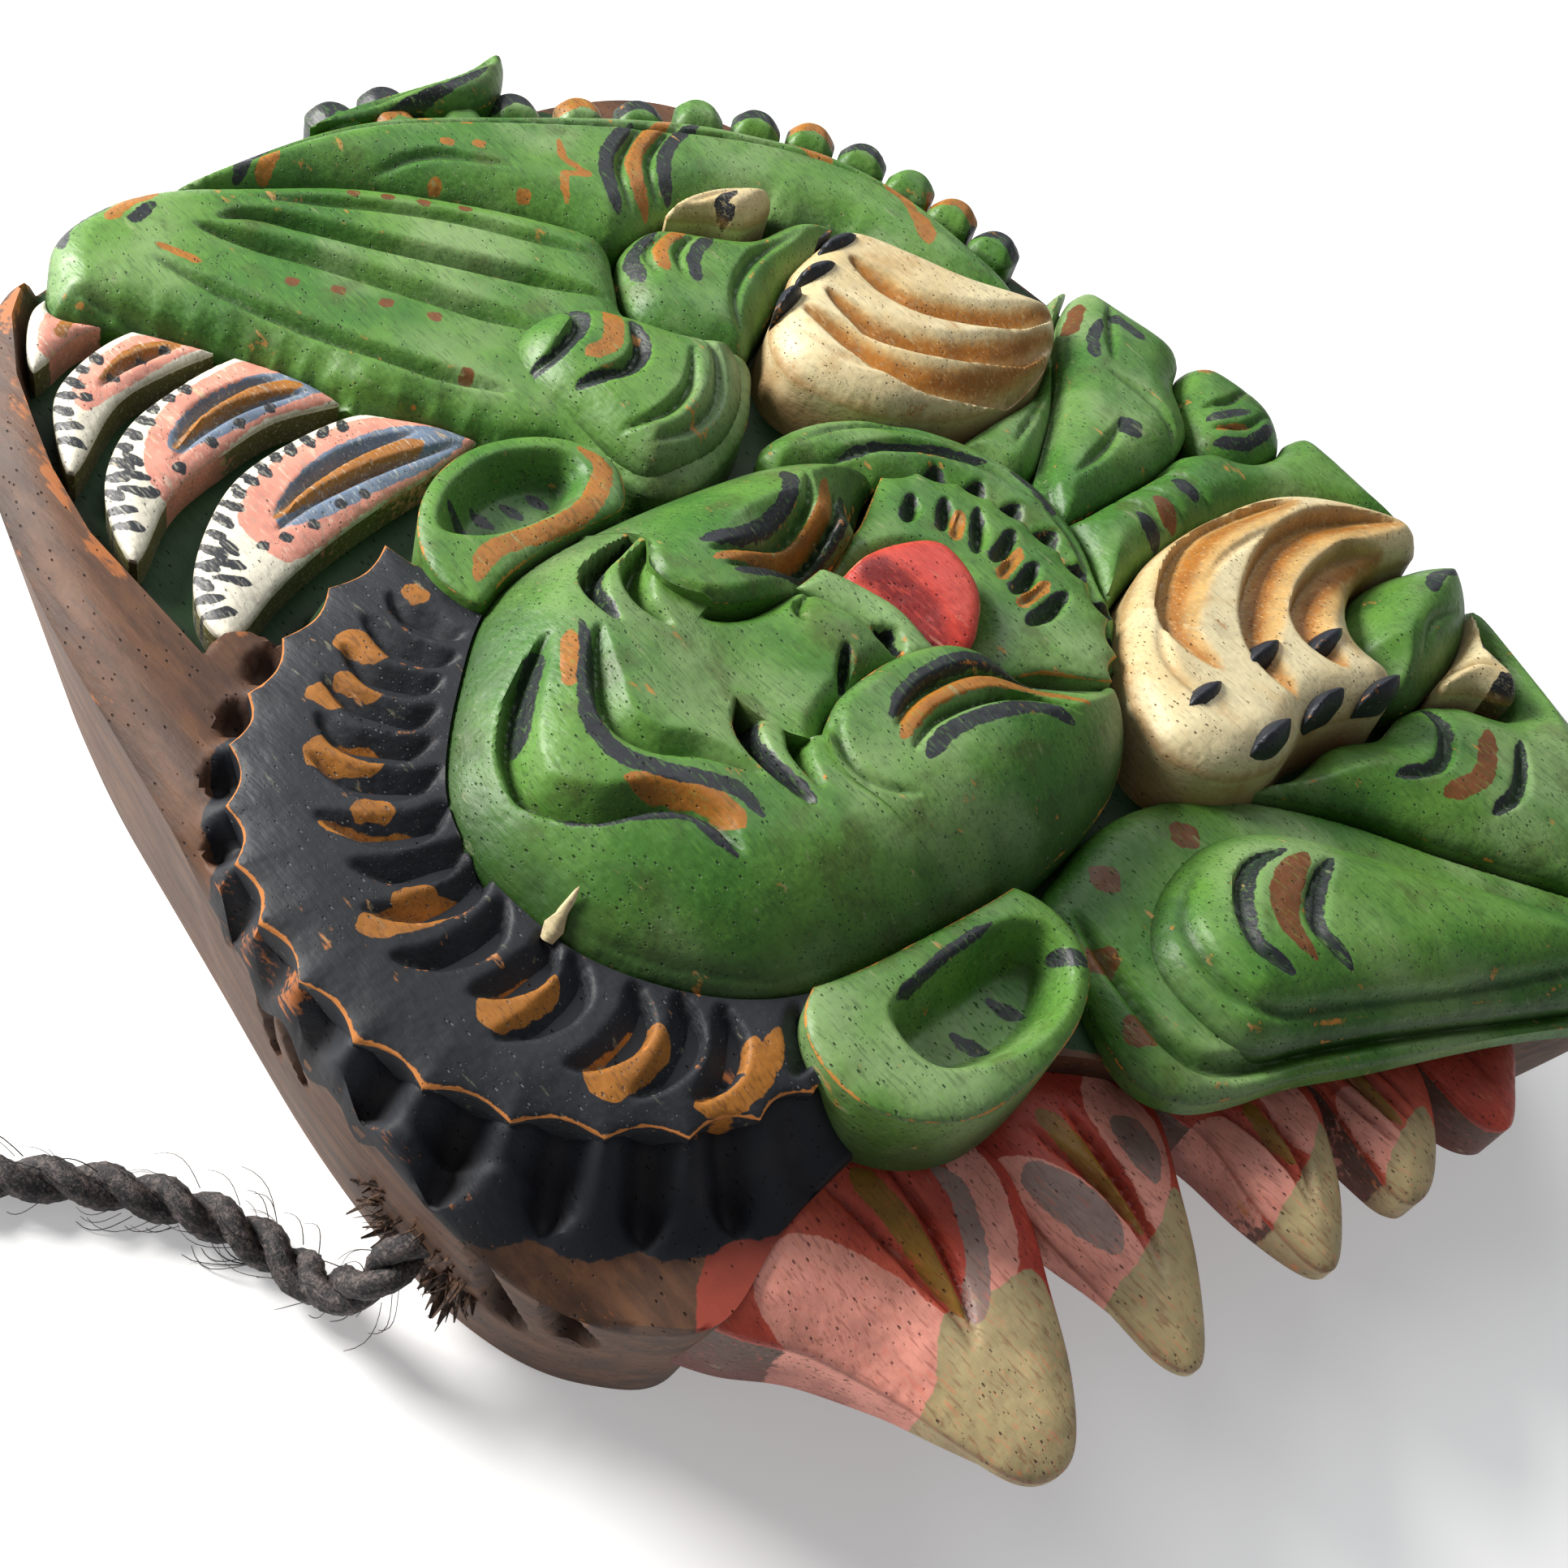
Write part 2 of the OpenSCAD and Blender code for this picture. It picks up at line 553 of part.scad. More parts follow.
back_block();
hair_crown();
forehead();
left_cheek();
right_cheek();
nose();
upper_lip();
tongue();
beard_collar();
left_ear();
right_ear();
left_wing_arm();
left_wing_knob();
right_wing_arm();
right_wing_knob();
left_feather(0);  // left_feather_1
left_feather(1);  // left_feather_2
left_feather(2);  // left_feather_3
left_feather(3);  // left_feather_4
left_feather(4);  // left_feather_5
right_feather(0);  // right_feather_1
right_feather(1);  // right_feather_2
right_feather(2);  // right_feather_3
right_feather(3);  // right_feather_4
chest_ring();
belly();
sash();
tail_stub();
left_hand();
left_claws();
left_thumb_claw();
grip_ball();
right_hand();
right_claws();
right_thumb_claw();
left_limb();
right_inner_limb();
right_outer_limb();
right_thigh();
crest_lobes();
fin();
rope_tuft();
rope();
rope_coil();
rope_end_knot();
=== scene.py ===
"""Looks of the carved and painted wall plaque: relief, paint, bare wood, rope, light and camera.

Lengths are millimetres until a mesh is made. Outlines and marks are laid out from the point midway
between the ears, as the CAD model is, and move to the frame by LAYOUT.
"""
import math

import bpy
import numpy as np
from mathutils import Matrix, Vector
from mathutils.geometry import delaunay_2d_cdt


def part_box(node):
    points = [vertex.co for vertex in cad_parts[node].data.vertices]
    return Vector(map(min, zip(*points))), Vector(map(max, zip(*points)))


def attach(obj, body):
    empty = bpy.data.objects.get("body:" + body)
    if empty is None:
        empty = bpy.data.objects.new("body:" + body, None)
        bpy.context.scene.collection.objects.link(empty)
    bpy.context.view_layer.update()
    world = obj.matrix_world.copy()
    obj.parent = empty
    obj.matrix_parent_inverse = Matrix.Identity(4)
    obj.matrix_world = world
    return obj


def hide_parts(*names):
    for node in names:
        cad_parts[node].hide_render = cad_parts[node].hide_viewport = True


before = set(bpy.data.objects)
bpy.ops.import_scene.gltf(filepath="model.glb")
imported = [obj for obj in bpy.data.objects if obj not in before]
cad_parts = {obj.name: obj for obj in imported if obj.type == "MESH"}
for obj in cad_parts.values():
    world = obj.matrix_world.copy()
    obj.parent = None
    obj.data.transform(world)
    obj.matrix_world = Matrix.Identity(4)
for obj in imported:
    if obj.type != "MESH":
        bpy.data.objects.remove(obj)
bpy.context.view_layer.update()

MM = 0.001
LAYOUT = np.array([-11.0, 32.5])
# The relief pieces reach this far down into the board, so that no gap shows
SINK = 0.4
# What stands lower than this stands on the table and not on the board
BOARD_LOW = 20
# Outlines this near to a soft neighbour's are shared with it
SOFT_GAP = 0.45
# How far an outline is pulled back from a soft neighbour, how wide its rubbed edge is, how deep the
# painted edge goes down the side, and the depth below the top at which the painted shade is full
SEAM_PULL = 0.08
RUB_WIDTH = 0.45
EDGE_BAND = 0.5
SHADE_FULL_DEPTH = 10
# Paint is kept on each vertex as PAINT_EDGE + distance inside the brush mark / PAINT_SOFT
PAINT_EDGE = 2.0
PAINT_SOFT = 0.5


# ---- camera, light and floor ----
def camera():
    """Seen from above the hair, close up, with the crest at the far side."""
    place = Vector((-75.83, 135.20, 166.35)) * MM
    right = Vector((-0.679, -0.686, 0.262)).normalized()
    away = Vector((0.31685, -0.59563, -0.73813)).normalized()
    up = right.cross(away).normalized()
    right = away.cross(up)
    data = bpy.data.cameras.new("camera")
    data.lens = 39.24
    data.sensor_width = 36.0
    data.clip_start = 0.01
    cam = bpy.data.objects.new("camera", data)
    turn = Matrix((right, up, -away)).transposed().to_4x4()
    cam.matrix_world = Matrix.Translation(place) @ turn
    bpy.context.collection.objects.link(cam)
    bpy.context.scene.camera = cam


def area_light(name, towards, distance, size, power, colour):
    """A square soft light that looks at the plaque's middle from the given direction."""
    data = bpy.data.lights.new(name, "AREA")
    data.shape = "SQUARE"
    data.size = size
    data.energy = power
    data.color = colour
    lamp = bpy.data.objects.new(name, data)
    direction = Vector(towards).normalized()
    lamp.location = direction * distance
    lamp.rotation_euler = direction.to_track_quat("Z", "Y").to_euler()
    bpy.context.collection.objects.link(lamp)


def studio():
    """A close low key from the crest's side, a broad light for the sheen, and a pale floor."""
    area_light("key", (0.74, 0.34, 0.47), 0.62, 0.2, 6.6, (1.0, 0.98, 0.95))
    area_light("sheen", (0.38, -0.52, 0.78), 1.1, 0.7, 3.6, (0.96, 0.98, 1.0))
    world = bpy.data.worlds.new("room")
    world.use_nodes = True
    world.node_tree.nodes["Background"].inputs["Color"].default_value = (0.93, 0.95, 1.0, 1.0)
    world.node_tree.nodes["Background"].inputs["Strength"].default_value = 0.22
    bpy.context.scene.world = world
    bpy.context.scene.view_settings.view_transform = "Standard"
    half = 2.0
    corners = [(-half, -half, 0), (half, -half, 0), (half, half, 0), (-half, half, 0)]
    mesh = bpy.data.meshes.new("floor")
    mesh.from_pydata(corners, [], [(0, 1, 2, 3)])
    floor = bpy.data.objects.new("floor", mesh)
    bpy.context.collection.objects.link(floor)
    mat = bpy.data.materials.new("floor")
    mat.use_nodes = True
    bsdf = mat.node_tree.nodes["Principled BSDF"]
    bsdf.inputs["Base Color"].default_value = (0.92, 0.92, 0.91, 1)
    bsdf.inputs["Roughness"].default_value = 0.7
    bsdf.inputs["Emission Color"].default_value = (1, 1, 1, 1)
    bsdf.inputs["Emission Strength"].default_value = 0.3
    mesh.materials.append(mat)


# ---- lines ----
def smooth(points, closed=False, per_span=6):
    """A Catmull-Rom line through the points."""
    p = np.array(points, float)
    if closed:
        p = np.vstack([p[-1:], p, p[:2]])
    else:
        p = np.vstack([2 * p[0] - p[1], p, 2 * p[-1] - p[-2]])
    t = np.linspace(0, 1, per_span, endpoint=False)[:, None]
    spans = []
    for i in range(1, len(p) - 2):
        a, b, c, d = p[i - 1:i + 3]
        spans.append(0.5 * (2 * b + (c - a) * t + (2 * a - 5 * b + 4 * c - d) * t * t
                            + (3 * b - a - 3 * c + d) * t ** 3))
    if not closed:
        spans.append(p[-2:-1])
    return np.vstack(spans)


def resample(line, step):
    """The open line with points about step apart."""
    gaps = np.linalg.norm(np.diff(line, axis=0), axis=1)
    at = np.concatenate([[0], np.cumsum(gaps)])
    count = max(2, int(round(at[-1] / step)) + 1)
    wanted = np.linspace(0, at[-1], count)
    return np.stack([np.interp(wanted, at, line[:, k]) for k in range(line.shape[1])], axis=1)


def closed(ring, step):
    """The closed ring with points about step apart, its first point repeated at the end."""
    return resample(np.vstack([ring, ring[:1]]), step)


def between(a, b):
    """The line that runs midway between two brush marks."""
    parts = 9
    pair = []
    for line in (smooth(a), smooth(b)):
        length = np.linalg.norm(np.diff(line, axis=0), axis=1).sum()
        pair.append(resample(line, length / parts))
    shorter = min(len(line) for line in pair)
    return ((pair[0][:shorter] + pair[1][:shorter]) / 2).tolist()


def along(line, points):
    """For each point its distance to the line, its side (+1 left) and its share of the length."""
    best = np.full(len(points), 1e9)
    side = np.zeros(len(points))
    share = np.zeros(len(points))
    run = np.diff(line, axis=0)
    length = np.linalg.norm(run, axis=1)
    start = np.concatenate([[0], np.cumsum(length)])
    for i in range(len(run)):
        if length[i] < 1e-9:
            continue
        rel = points - line[i]
        t = np.clip(rel @ run[i] / length[i] ** 2, 0, 1)
        off = rel - t[:, None] * run[i]
        dist = np.linalg.norm(off, axis=1)
        near = dist < best
        best[near] = dist[near]
        share[near] = (start[i] + t[near] * length[i]) / start[-1]
        if line.shape[1] == 2:
            side[near] = np.sign(run[i, 0] * rel[near, 1] - run[i, 1] * rel[near, 0])
    return best, side, share


def inside(ring, points):
    """Whether each point is inside the closed ring."""
    x, y = points[:, 0], points[:, 1]
    hit = np.zeros(len(points), bool)
    for (x0, y0), (x1, y1) in zip(ring, np.roll(ring, -1, axis=0)):
        if y0 == y1:
            continue
        crosses = ((y0 > y) != (y1 > y)) & (x < (x1 - x0) * (y - y0) / (y1 - y0) + x0)
        hit ^= crosses
    return hit


def ring_distance(ring, points):
    """Distance inside (+) or outside (-) of a closed ring."""
    dist = along(np.vstack([ring, ring[:1]]), points)[0]
    return np.where(inside(ring, points), dist, -dist)


def nearest(points, samples):
    """Distance from each point to the nearest sample."""
    if len(samples) == 0:
        return np.full(len(points), 99.0)
    out = np.empty(len(points))
    own = (samples ** 2).sum(axis=1)
    block = 3000
    for i in range(0, len(points), block):
        part = points[i:i + block]
        square = (part ** 2).sum(axis=1)[:, None] + own - 2 * part @ samples.T
        out[i:i + block] = np.sqrt(np.maximum(square.min(axis=1), 0))
    return out


def ease(t):
    """0 to 1 with soft ends."""
    t = np.clip(t, 0, 1)
    return t * t * (3 - 2 * t)


# ---- marks: gouge cuts and brush work ----
def taper(share, ends):
    """1 along a stroke, falling to 0 over the given share of it at each end."""
    w = np.ones_like(share)
    if ends[0]:
        w = np.minimum(w, np.sqrt(np.clip(share / ends[0], 0, 1)))
    if ends[1]:
        w = np.minimum(w, np.sqrt(np.clip((1 - share) / ends[1], 0, 1)))
    return w


def paint_value(depth):
    """What is kept on a vertex that lies depth inside the edge of its paint."""
    return np.clip(PAINT_EDGE + depth / PAINT_SOFT, 0, 2 * PAINT_EDGE)


def cusp_spans(cusps):
    """The width, the middle and the outward direction of the span between each two cusps."""
    for a, b in zip(cusps, cusps[1:]):
        run = np.subtract(b, a)
        wide = np.linalg.norm(run)
        yield wide, np.add(a, b) / 2, np.array([run[1], -run[0]]) / wide


class Marks:
    """The gouge cuts, ridges and brush marks of one sub-part."""

    def __init__(self):
        self.cuts = []
        self.paints = []

    def cut(self, points, width, depth, lean=0.0, ends=(0.4, 0.4), hollow=False):
        """A gouge cut. Its deepest line leans to the left (+) or right (-); hollow rounds it."""
        self.cuts.append((smooth(points) + LAYOUT, width / 2, depth, lean, ends, hollow))

    def brush(self, colour, points, width, ends=(0.12, 0.2)):
        """A brush mark along the points."""
        self.paints.append((colour, smooth(points) + LAYOUT, width / 2, ends))

    def barred(self, lines, width, depth, lean, brush):
        """Gouge cuts with a black line painted along each."""
        for line in lines:
            self.cut(line, width, depth, lean=lean)
            self.brush("black", line, brush)

    def patch(self, colour, points):
        """A painted area with a smooth edge."""
        self.paints.append((colour, smooth(points, closed=True) + LAYOUT, 0.0, None))

    def spots(self, colour, centres, size):
        """Round dabs."""
        for x, y in centres:
            self.patch(colour, [(x - size, y), (x, y - size), (x + size, y), (x, y + size)])

    def change(self, points):
        """How far the cuts move the surface up at each point."""
        dz = np.zeros(len(points))
        for line, half, depth, lean, ends, hollow in self.cuts:
            low = line.min(axis=0) - half
            high = line.max(axis=0) + half
            near = np.all((points > low) & (points < high), axis=1)
            if not near.any():
                continue
            dist, side, share = along(line, points[near])
            reach = half * taper(share, ends) + 1e-6
            across = np.clip(dist * side / reach, -1, 1)
            deep = np.where(across < lean, (across + 1) / (lean + 1), (1 - across) / (1 - lean))
            if hollow:
                deep = ease(deep)
            moved = -depth * deep * taper(share, ends)
            dz[near] = np.where(abs(moved) > abs(dz[near]), moved, dz[near])
        return dz

    def coverage(self, points):
        """The paint value of each colour at each point."""
        out = {}
        for colour, line, half, ends in self.paints:
            value = out.setdefault(colour, np.zeros(len(points)))
            reach = half + PAINT_EDGE * PAINT_SOFT
            near = np.all((points > line.min(axis=0) - reach)
                          & (points < line.max(axis=0) + reach), axis=1)
            if not near.any():
                continue
            if ends is None:
                depth = ring_distance(line, points[near])
            else:
                dist, side, share = along(line, points[near])
                depth = half * taper(share, ends) - dist
            value[near] = np.maximum(value[near], paint_value(depth))
        return out


# ---- meshes from the frame ----
def rings_of(node, up=False, level=None):
    """The outline rings of a node's bottom (or of its top at a level), each counterclockwise."""
    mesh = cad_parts[node].data
    co = np.array([v.co for v in mesh.vertices]) / MM
    faces = [p for p in mesh.polygons if (p.normal.z > 0.5 if up else p.normal.z < -0.5)]
    if level is None:
        level = min(co[list(p.vertices), 2].min() for p in faces)
    faces = [p for p in faces if abs(co[list(p.vertices), 2] - level).max() < 0.2]
    keys = [tuple(np.round(c[:2], 3)) for c in co]
    used = {}
    for face in faces:
        loop = [keys[v] for v in face.vertices]
        for a, b in zip(loop, loop[1:] + loop[:1]):
            used[(a, b)] = used.get((a, b), 0) + 1
    follow = {}
    for a, b in used:
        if a != b and (b, a) not in used:
            follow.setdefault(a, []).append(b)
    rings = []
    while follow:
        first = min(follow)
        ring = [first]
        at = follow[first].pop()
        while at != first and at in follow and follow[at]:
            ring.append(at)
            at = follow[at].pop()
        follow = {k: v for k, v in follow.items() if v}
        ring = np.array(ring)
        if len(ring) < 3:
            continue
        x, y = ring.T
        area = 0.5 * (x * np.roll(y, -1) - np.roll(x, -1) * y).sum()
        if abs(area) > 1.0:
            rings.append(ring if area > 0 else ring[::-1])
    return rings


def even_ring(ring, step):
    """The ring with points a step apart, its corners kept and its bends rounded."""
    ahead = np.roll(ring, -1, axis=0) - ring
    behind = ring - np.roll(ring, 1, axis=0)
    turn = np.arctan2(behind[:, 0] * ahead[:, 1] - behind[:, 1] * ahead[:, 0],
                      (behind * ahead).sum(axis=1))
    corners = np.flatnonzero(abs(turn) > math.radians(38))
    if len(corners) == 0:
        corners = np.array([0])
    parts = []
    fixed = []
    for i, start in enumerate(corners):
        stop = corners[(i + 1) % len(corners)]
        if stop <= start:
            stop += len(ring)
        part = resample(ring[np.arange(start, stop + 1) % len(ring)], step)[:-1]
        parts.append(part)
        fixed += [len(corners) > 1] + [False] * (len(part) - 1)
    even = np.vstack(parts)
    fixed = np.array(fixed)[:, None]
    for _ in range(8):
        soft = 0.5 * even + 0.25 * (np.roll(even, 1, axis=0) + np.roll(even, -1, axis=0))
        even = np.where(fixed, even, soft)
    return even


def inward(ring):
    """Unit normals that point into a counterclockwise ring."""
    tangent = np.roll(ring, -1, axis=0) - np.roll(ring, 1, axis=0)
    normal = np.stack([-tangent[:, 1], tangent[:, 0]], axis=1)
    return normal / (np.linalg.norm(normal, axis=1)[:, None] + 1e-9)


def fill(ring, step, extra=None):
    """Points and triangles that fill a ring. The first points are the ring itself."""
    dense = closed(ring, 0.2)
    points = [ring]
    for offset in (0.22, 0.6):
        line = ring + inward(ring) * offset
        keep = (nearest(line, dense) > 0.9 * offset) & inside(ring, line)
        points.append(line[keep])
    low = ring.min(axis=0)
    high = ring.max(axis=0)
    rows = np.arange(low[1], high[1], step * 0.866)
    cols = np.arange(low[0], high[0], step)
    x, y = np.meshgrid(cols, rows)
    x = x + (np.arange(len(rows)) % 2)[:, None] * step / 2
    grid = np.stack([x.ravel(), y.ravel()], axis=1)
    grid = grid[inside(ring, grid)]
    grid = grid[nearest(grid, dense) > 0.6 + 0.55 * step]
    if extra is not None:
        extra = extra[inside(ring, extra)]
        extra = extra[nearest(extra, dense) > 1.2]
        points.append(extra)
        grid = grid[nearest(grid, extra) > 0.5 * step]
    points = np.vstack(points + [grid])
    edges = [(i, (i + 1) % len(ring)) for i in range(len(ring))]
    cells = delaunay_2d_cdt([Vector(p) for p in points], edges, [], 1, 1e-7)
    source = [o[0] if o else -1 for o in cells[3]]
    faces = [[source[v] for v in face] for face in cells[2]]
    faces = [f for f in faces if min(f) >= 0]
    return points, faces


def strip(upper, lower):
    """The faces between two closed rows of vertex numbers."""
    after = np.roll(np.arange(len(upper)), -1)
    return [[upper[i], lower[i], lower[j], upper[j]] for i, j in enumerate(after)]


def tube_faces(start, rows, sides):
    """The faces of a tube from its first vertex number, both ends closed."""
    faces = []
    for row in range(start, start + (rows - 1) * sides, sides):
        for k in range(sides):
            j = (k + 1) % sides
            faces.append([row + k, row + j, row + sides + j, row + sides + k])
    faces.append([start + k for k in range(sides)][::-1])
    faces.append([start + (rows - 1) * sides + k for k in range(sides)])
    return faces


def bumpiness(z, faces, rounds):
    """How far each point stands above (+) or below (-) the points around it."""
    f = np.array(faces)
    pairs = np.vstack([f[:, [0, 1]], f[:, [1, 2]], f[:, [2, 0]]])
    pairs = np.vstack([pairs, pairs[:, ::-1]])
    count = np.bincount(pairs[:, 0], minlength=len(z)) + 1.0
    soft = z.copy()
    for _ in range(rounds):
        total = np.bincount(pairs[:, 0], weights=soft[pairs[:, 1]], minlength=len(z))
        soft = (soft + total) / count
    return z - soft


def make_mesh(name, points, faces, values, material):
    """A mesh object from millimetre points, with its paint values as vertex attributes."""
    mesh = bpy.data.meshes.new(name)
    mesh.from_pydata((points * MM).tolist(), [], faces)
    mesh.validate()
    for key, value in values.items():
        layer = mesh.attributes.new(key, "FLOAT", "POINT")
        layer.data.foreach_set("value", np.asarray(value, np.float32))
    mesh.shade_smooth()
    mesh.set_sharp_from_angle(angle=math.radians(50))
    mesh.materials.append(material)
    obj = bpy.data.objects.new(name, mesh)
    bpy.context.collection.objects.link(obj)
    return obj


def group_edge(group):
    """Points on the outline of a whole group of nodes."""
    members = {node: [closed(r, 0.4) for r in rings_of(node)] for node in group}
    free = []
    for node, loops in members.items():
        others = np.vstack([r for m, rings in members.items() if m != node for r in rings])
        free += [r[nearest(r, others) > 0.5] for r in loops]
    return np.vstack(free) if free else None


def lengthen(values, count, painted=True):
    """Add count points below the top, which carry on the outline's paint or have none."""
    for key, value in values.items():
        if key == "side":
            tail = np.ones(count)
        elif painted and key not in ("wear", "hollow"):
            tail = value[:count]
        else:
            tail = np.zeros(count)
        values[key] = np.concatenate([value, tail])


def carve(node, marks, material, drop=2.0, reach=8.0, edge=0.8, round_over=1.2, soft=(),
          group=(), step=0.45, shape=None, under=None, flare=0.0, rub=0.6, rings=None):
    """Replace a node by carved relief over its own outline.

    The top falls by drop over reach towards the outline of the whole group, and by edge over
    round_over towards the node's own edges, except where it meets a soft neighbour. shape adds to
    the height, under gives a thickness instead of a flat bottom, flare widens the foot and rub
    rubs the paint off the edge.
    """
    low, high = [np.array(corner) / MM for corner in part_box(node)]
    soft_rings = [r for n in soft for r in (rings_of(n) if isinstance(n, str) else [n])]
    soft_samples = [closed(r, 0.2) for r in soft_rings]
    soft_samples = np.vstack(soft_samples) if soft_samples else np.zeros((0, 2))
    outer = group_edge(group)
    all_points = []
    all_faces = []
    all_values = []
    for ring in rings or [even_ring(r, 0.4) for r in rings_of(node)]:
        dense = closed(ring, 0.2)
        meets = nearest(dense, soft_samples) < SOFT_GAP
        ring_meets = nearest(ring, soft_samples) < SOFT_GAP
        ring = ring - inward(ring) * np.where(ring_meets, SEAM_PULL, 0.0)[:, None]
        top, cap = fill(ring, step)
        n = len(ring)
        to_edge = nearest(top, dense[~meets])
        to_group = to_edge if outer is None else nearest(top, outer)
        fallen = (drop * (1 - np.clip(to_group / reach, 0, 1)) ** 2
                  + edge * (1 - np.clip(to_edge / round_over, 0, 1)) ** 2)
        z = high[2] - fallen + marks.change(top)
        if shape:
            z += shape(top - LAYOUT, to_edge)
        z[n:] -= 0.6 * bumpiness(z, cap, 1)[n:]
        relief = bumpiness(z, cap, 3)
        values = marks.coverage(top)
        rubbed_edge = np.clip(1 - to_edge / RUB_WIDTH, 0, 1) * rub
        values["wear"] = np.clip(relief * 2.2, 0, 0.48) + rubbed_edge
        # Painted shade in creases: hollow marks where the surface dips below its neighbours
        values["hollow"] = np.clip(-relief * 4.0, 0, 1)
        values["side"] = np.zeros(len(top))
        if under is None:
            floor_z = np.full(len(top), low[2] - (SINK if low[2] > BOARD_LOW else 0))
        else:
            floor_z = z - under(top - LAYOUT, to_edge)
        points = [np.column_stack([top, z])]
        faces = list(cap)
        depths = [fallen]
        above = np.arange(n)
        middle = 0.5 * (z[:n] + floor_z[:n])
        for spread, height in ((0, z[:n] - EDGE_BAND), (0.35 * flare, middle), (flare, floor_z[:n])):
            below = sum(len(p) for p in points) + np.arange(n)
            points.append(np.column_stack([ring - inward(ring) * spread, height]))
            depths.append(high[2] - height)
            faces += strip(above, below)
            lengthen(values, n)
            above = below
        if under is None:
            faces.append(above[::-1])
        else:
            lower = len(top) - n
            own = np.concatenate([above, above[-1] + 1 + np.arange(lower)])
            points.append(np.column_stack([top[n:], floor_z[n:]]))
            depths.append(high[2] - floor_z[n:])
            faces += [own[face[::-1]] for face in cap]
            lengthen(values, lower, painted=False)
        # Painted shade: how far each point lies below the top, which darkens the paint down the sides
        # and into recesses
        values["low"] = np.clip(np.concatenate(depths) / SHADE_FULL_DEPTH, 0, 1)
        shift = sum(len(p) for p in all_points)
        all_points.append(np.vstack(points))
        all_faces += [[int(v) + shift for v in face] for face in faces]
        all_values.append(values)
    keys = sorted({k for v in all_values for k in v})
    sizes = [len(p) for p in all_points]
    merged = {k: np.concatenate([v.get(k, np.zeros(c)) for v, c in zip(all_values, sizes)])
              for k in keys}
    obj = make_mesh(node + "_carving", np.vstack(all_points), all_faces, merged, material)
    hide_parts(node)
    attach(obj, "root")
    return obj


# ---- materials ----
def srgb(r, g, b):
    """A colour given as the eye sees it, 0 to 255, as linear light."""
    def linear(v):
        v /= 255
        return v / 12.92 if v <= 0.04045 else ((v + 0.055) / 1.055) ** 2.4
    return (linear(r), linear(g), linear(b), 1.0)


COLOURS = {
    "black": srgb(31, 34, 41),
    "ochre": srgb(172, 108, 30),
    "olive": srgb(186, 168, 122),
    "pink": srgb(236, 156, 134),
    # Pink painted lighter, as if better lit: painted light on the lowered wing's feathers
    "rose": srgb(250, 166, 146),
    "red": srgb(150, 62, 46),
    "mauve": srgb(160, 132, 122),
    "blue": srgb(114, 132, 156),
    "brown": srgb(116, 66, 24),
    "gold": srgb(150, 108, 30),
    "green": srgb(74, 136, 64),
    # The pocket floor's green, darkened as painted shade
    "green_in_painted_shade": srgb(24, 62, 22),
    "pale_green": srgb(128, 164, 98),
    "tan": srgb(206, 166, 100),
    # The tongue's red darkened as painted shade under the lip
    "crimson": srgb(132, 30, 28),
}


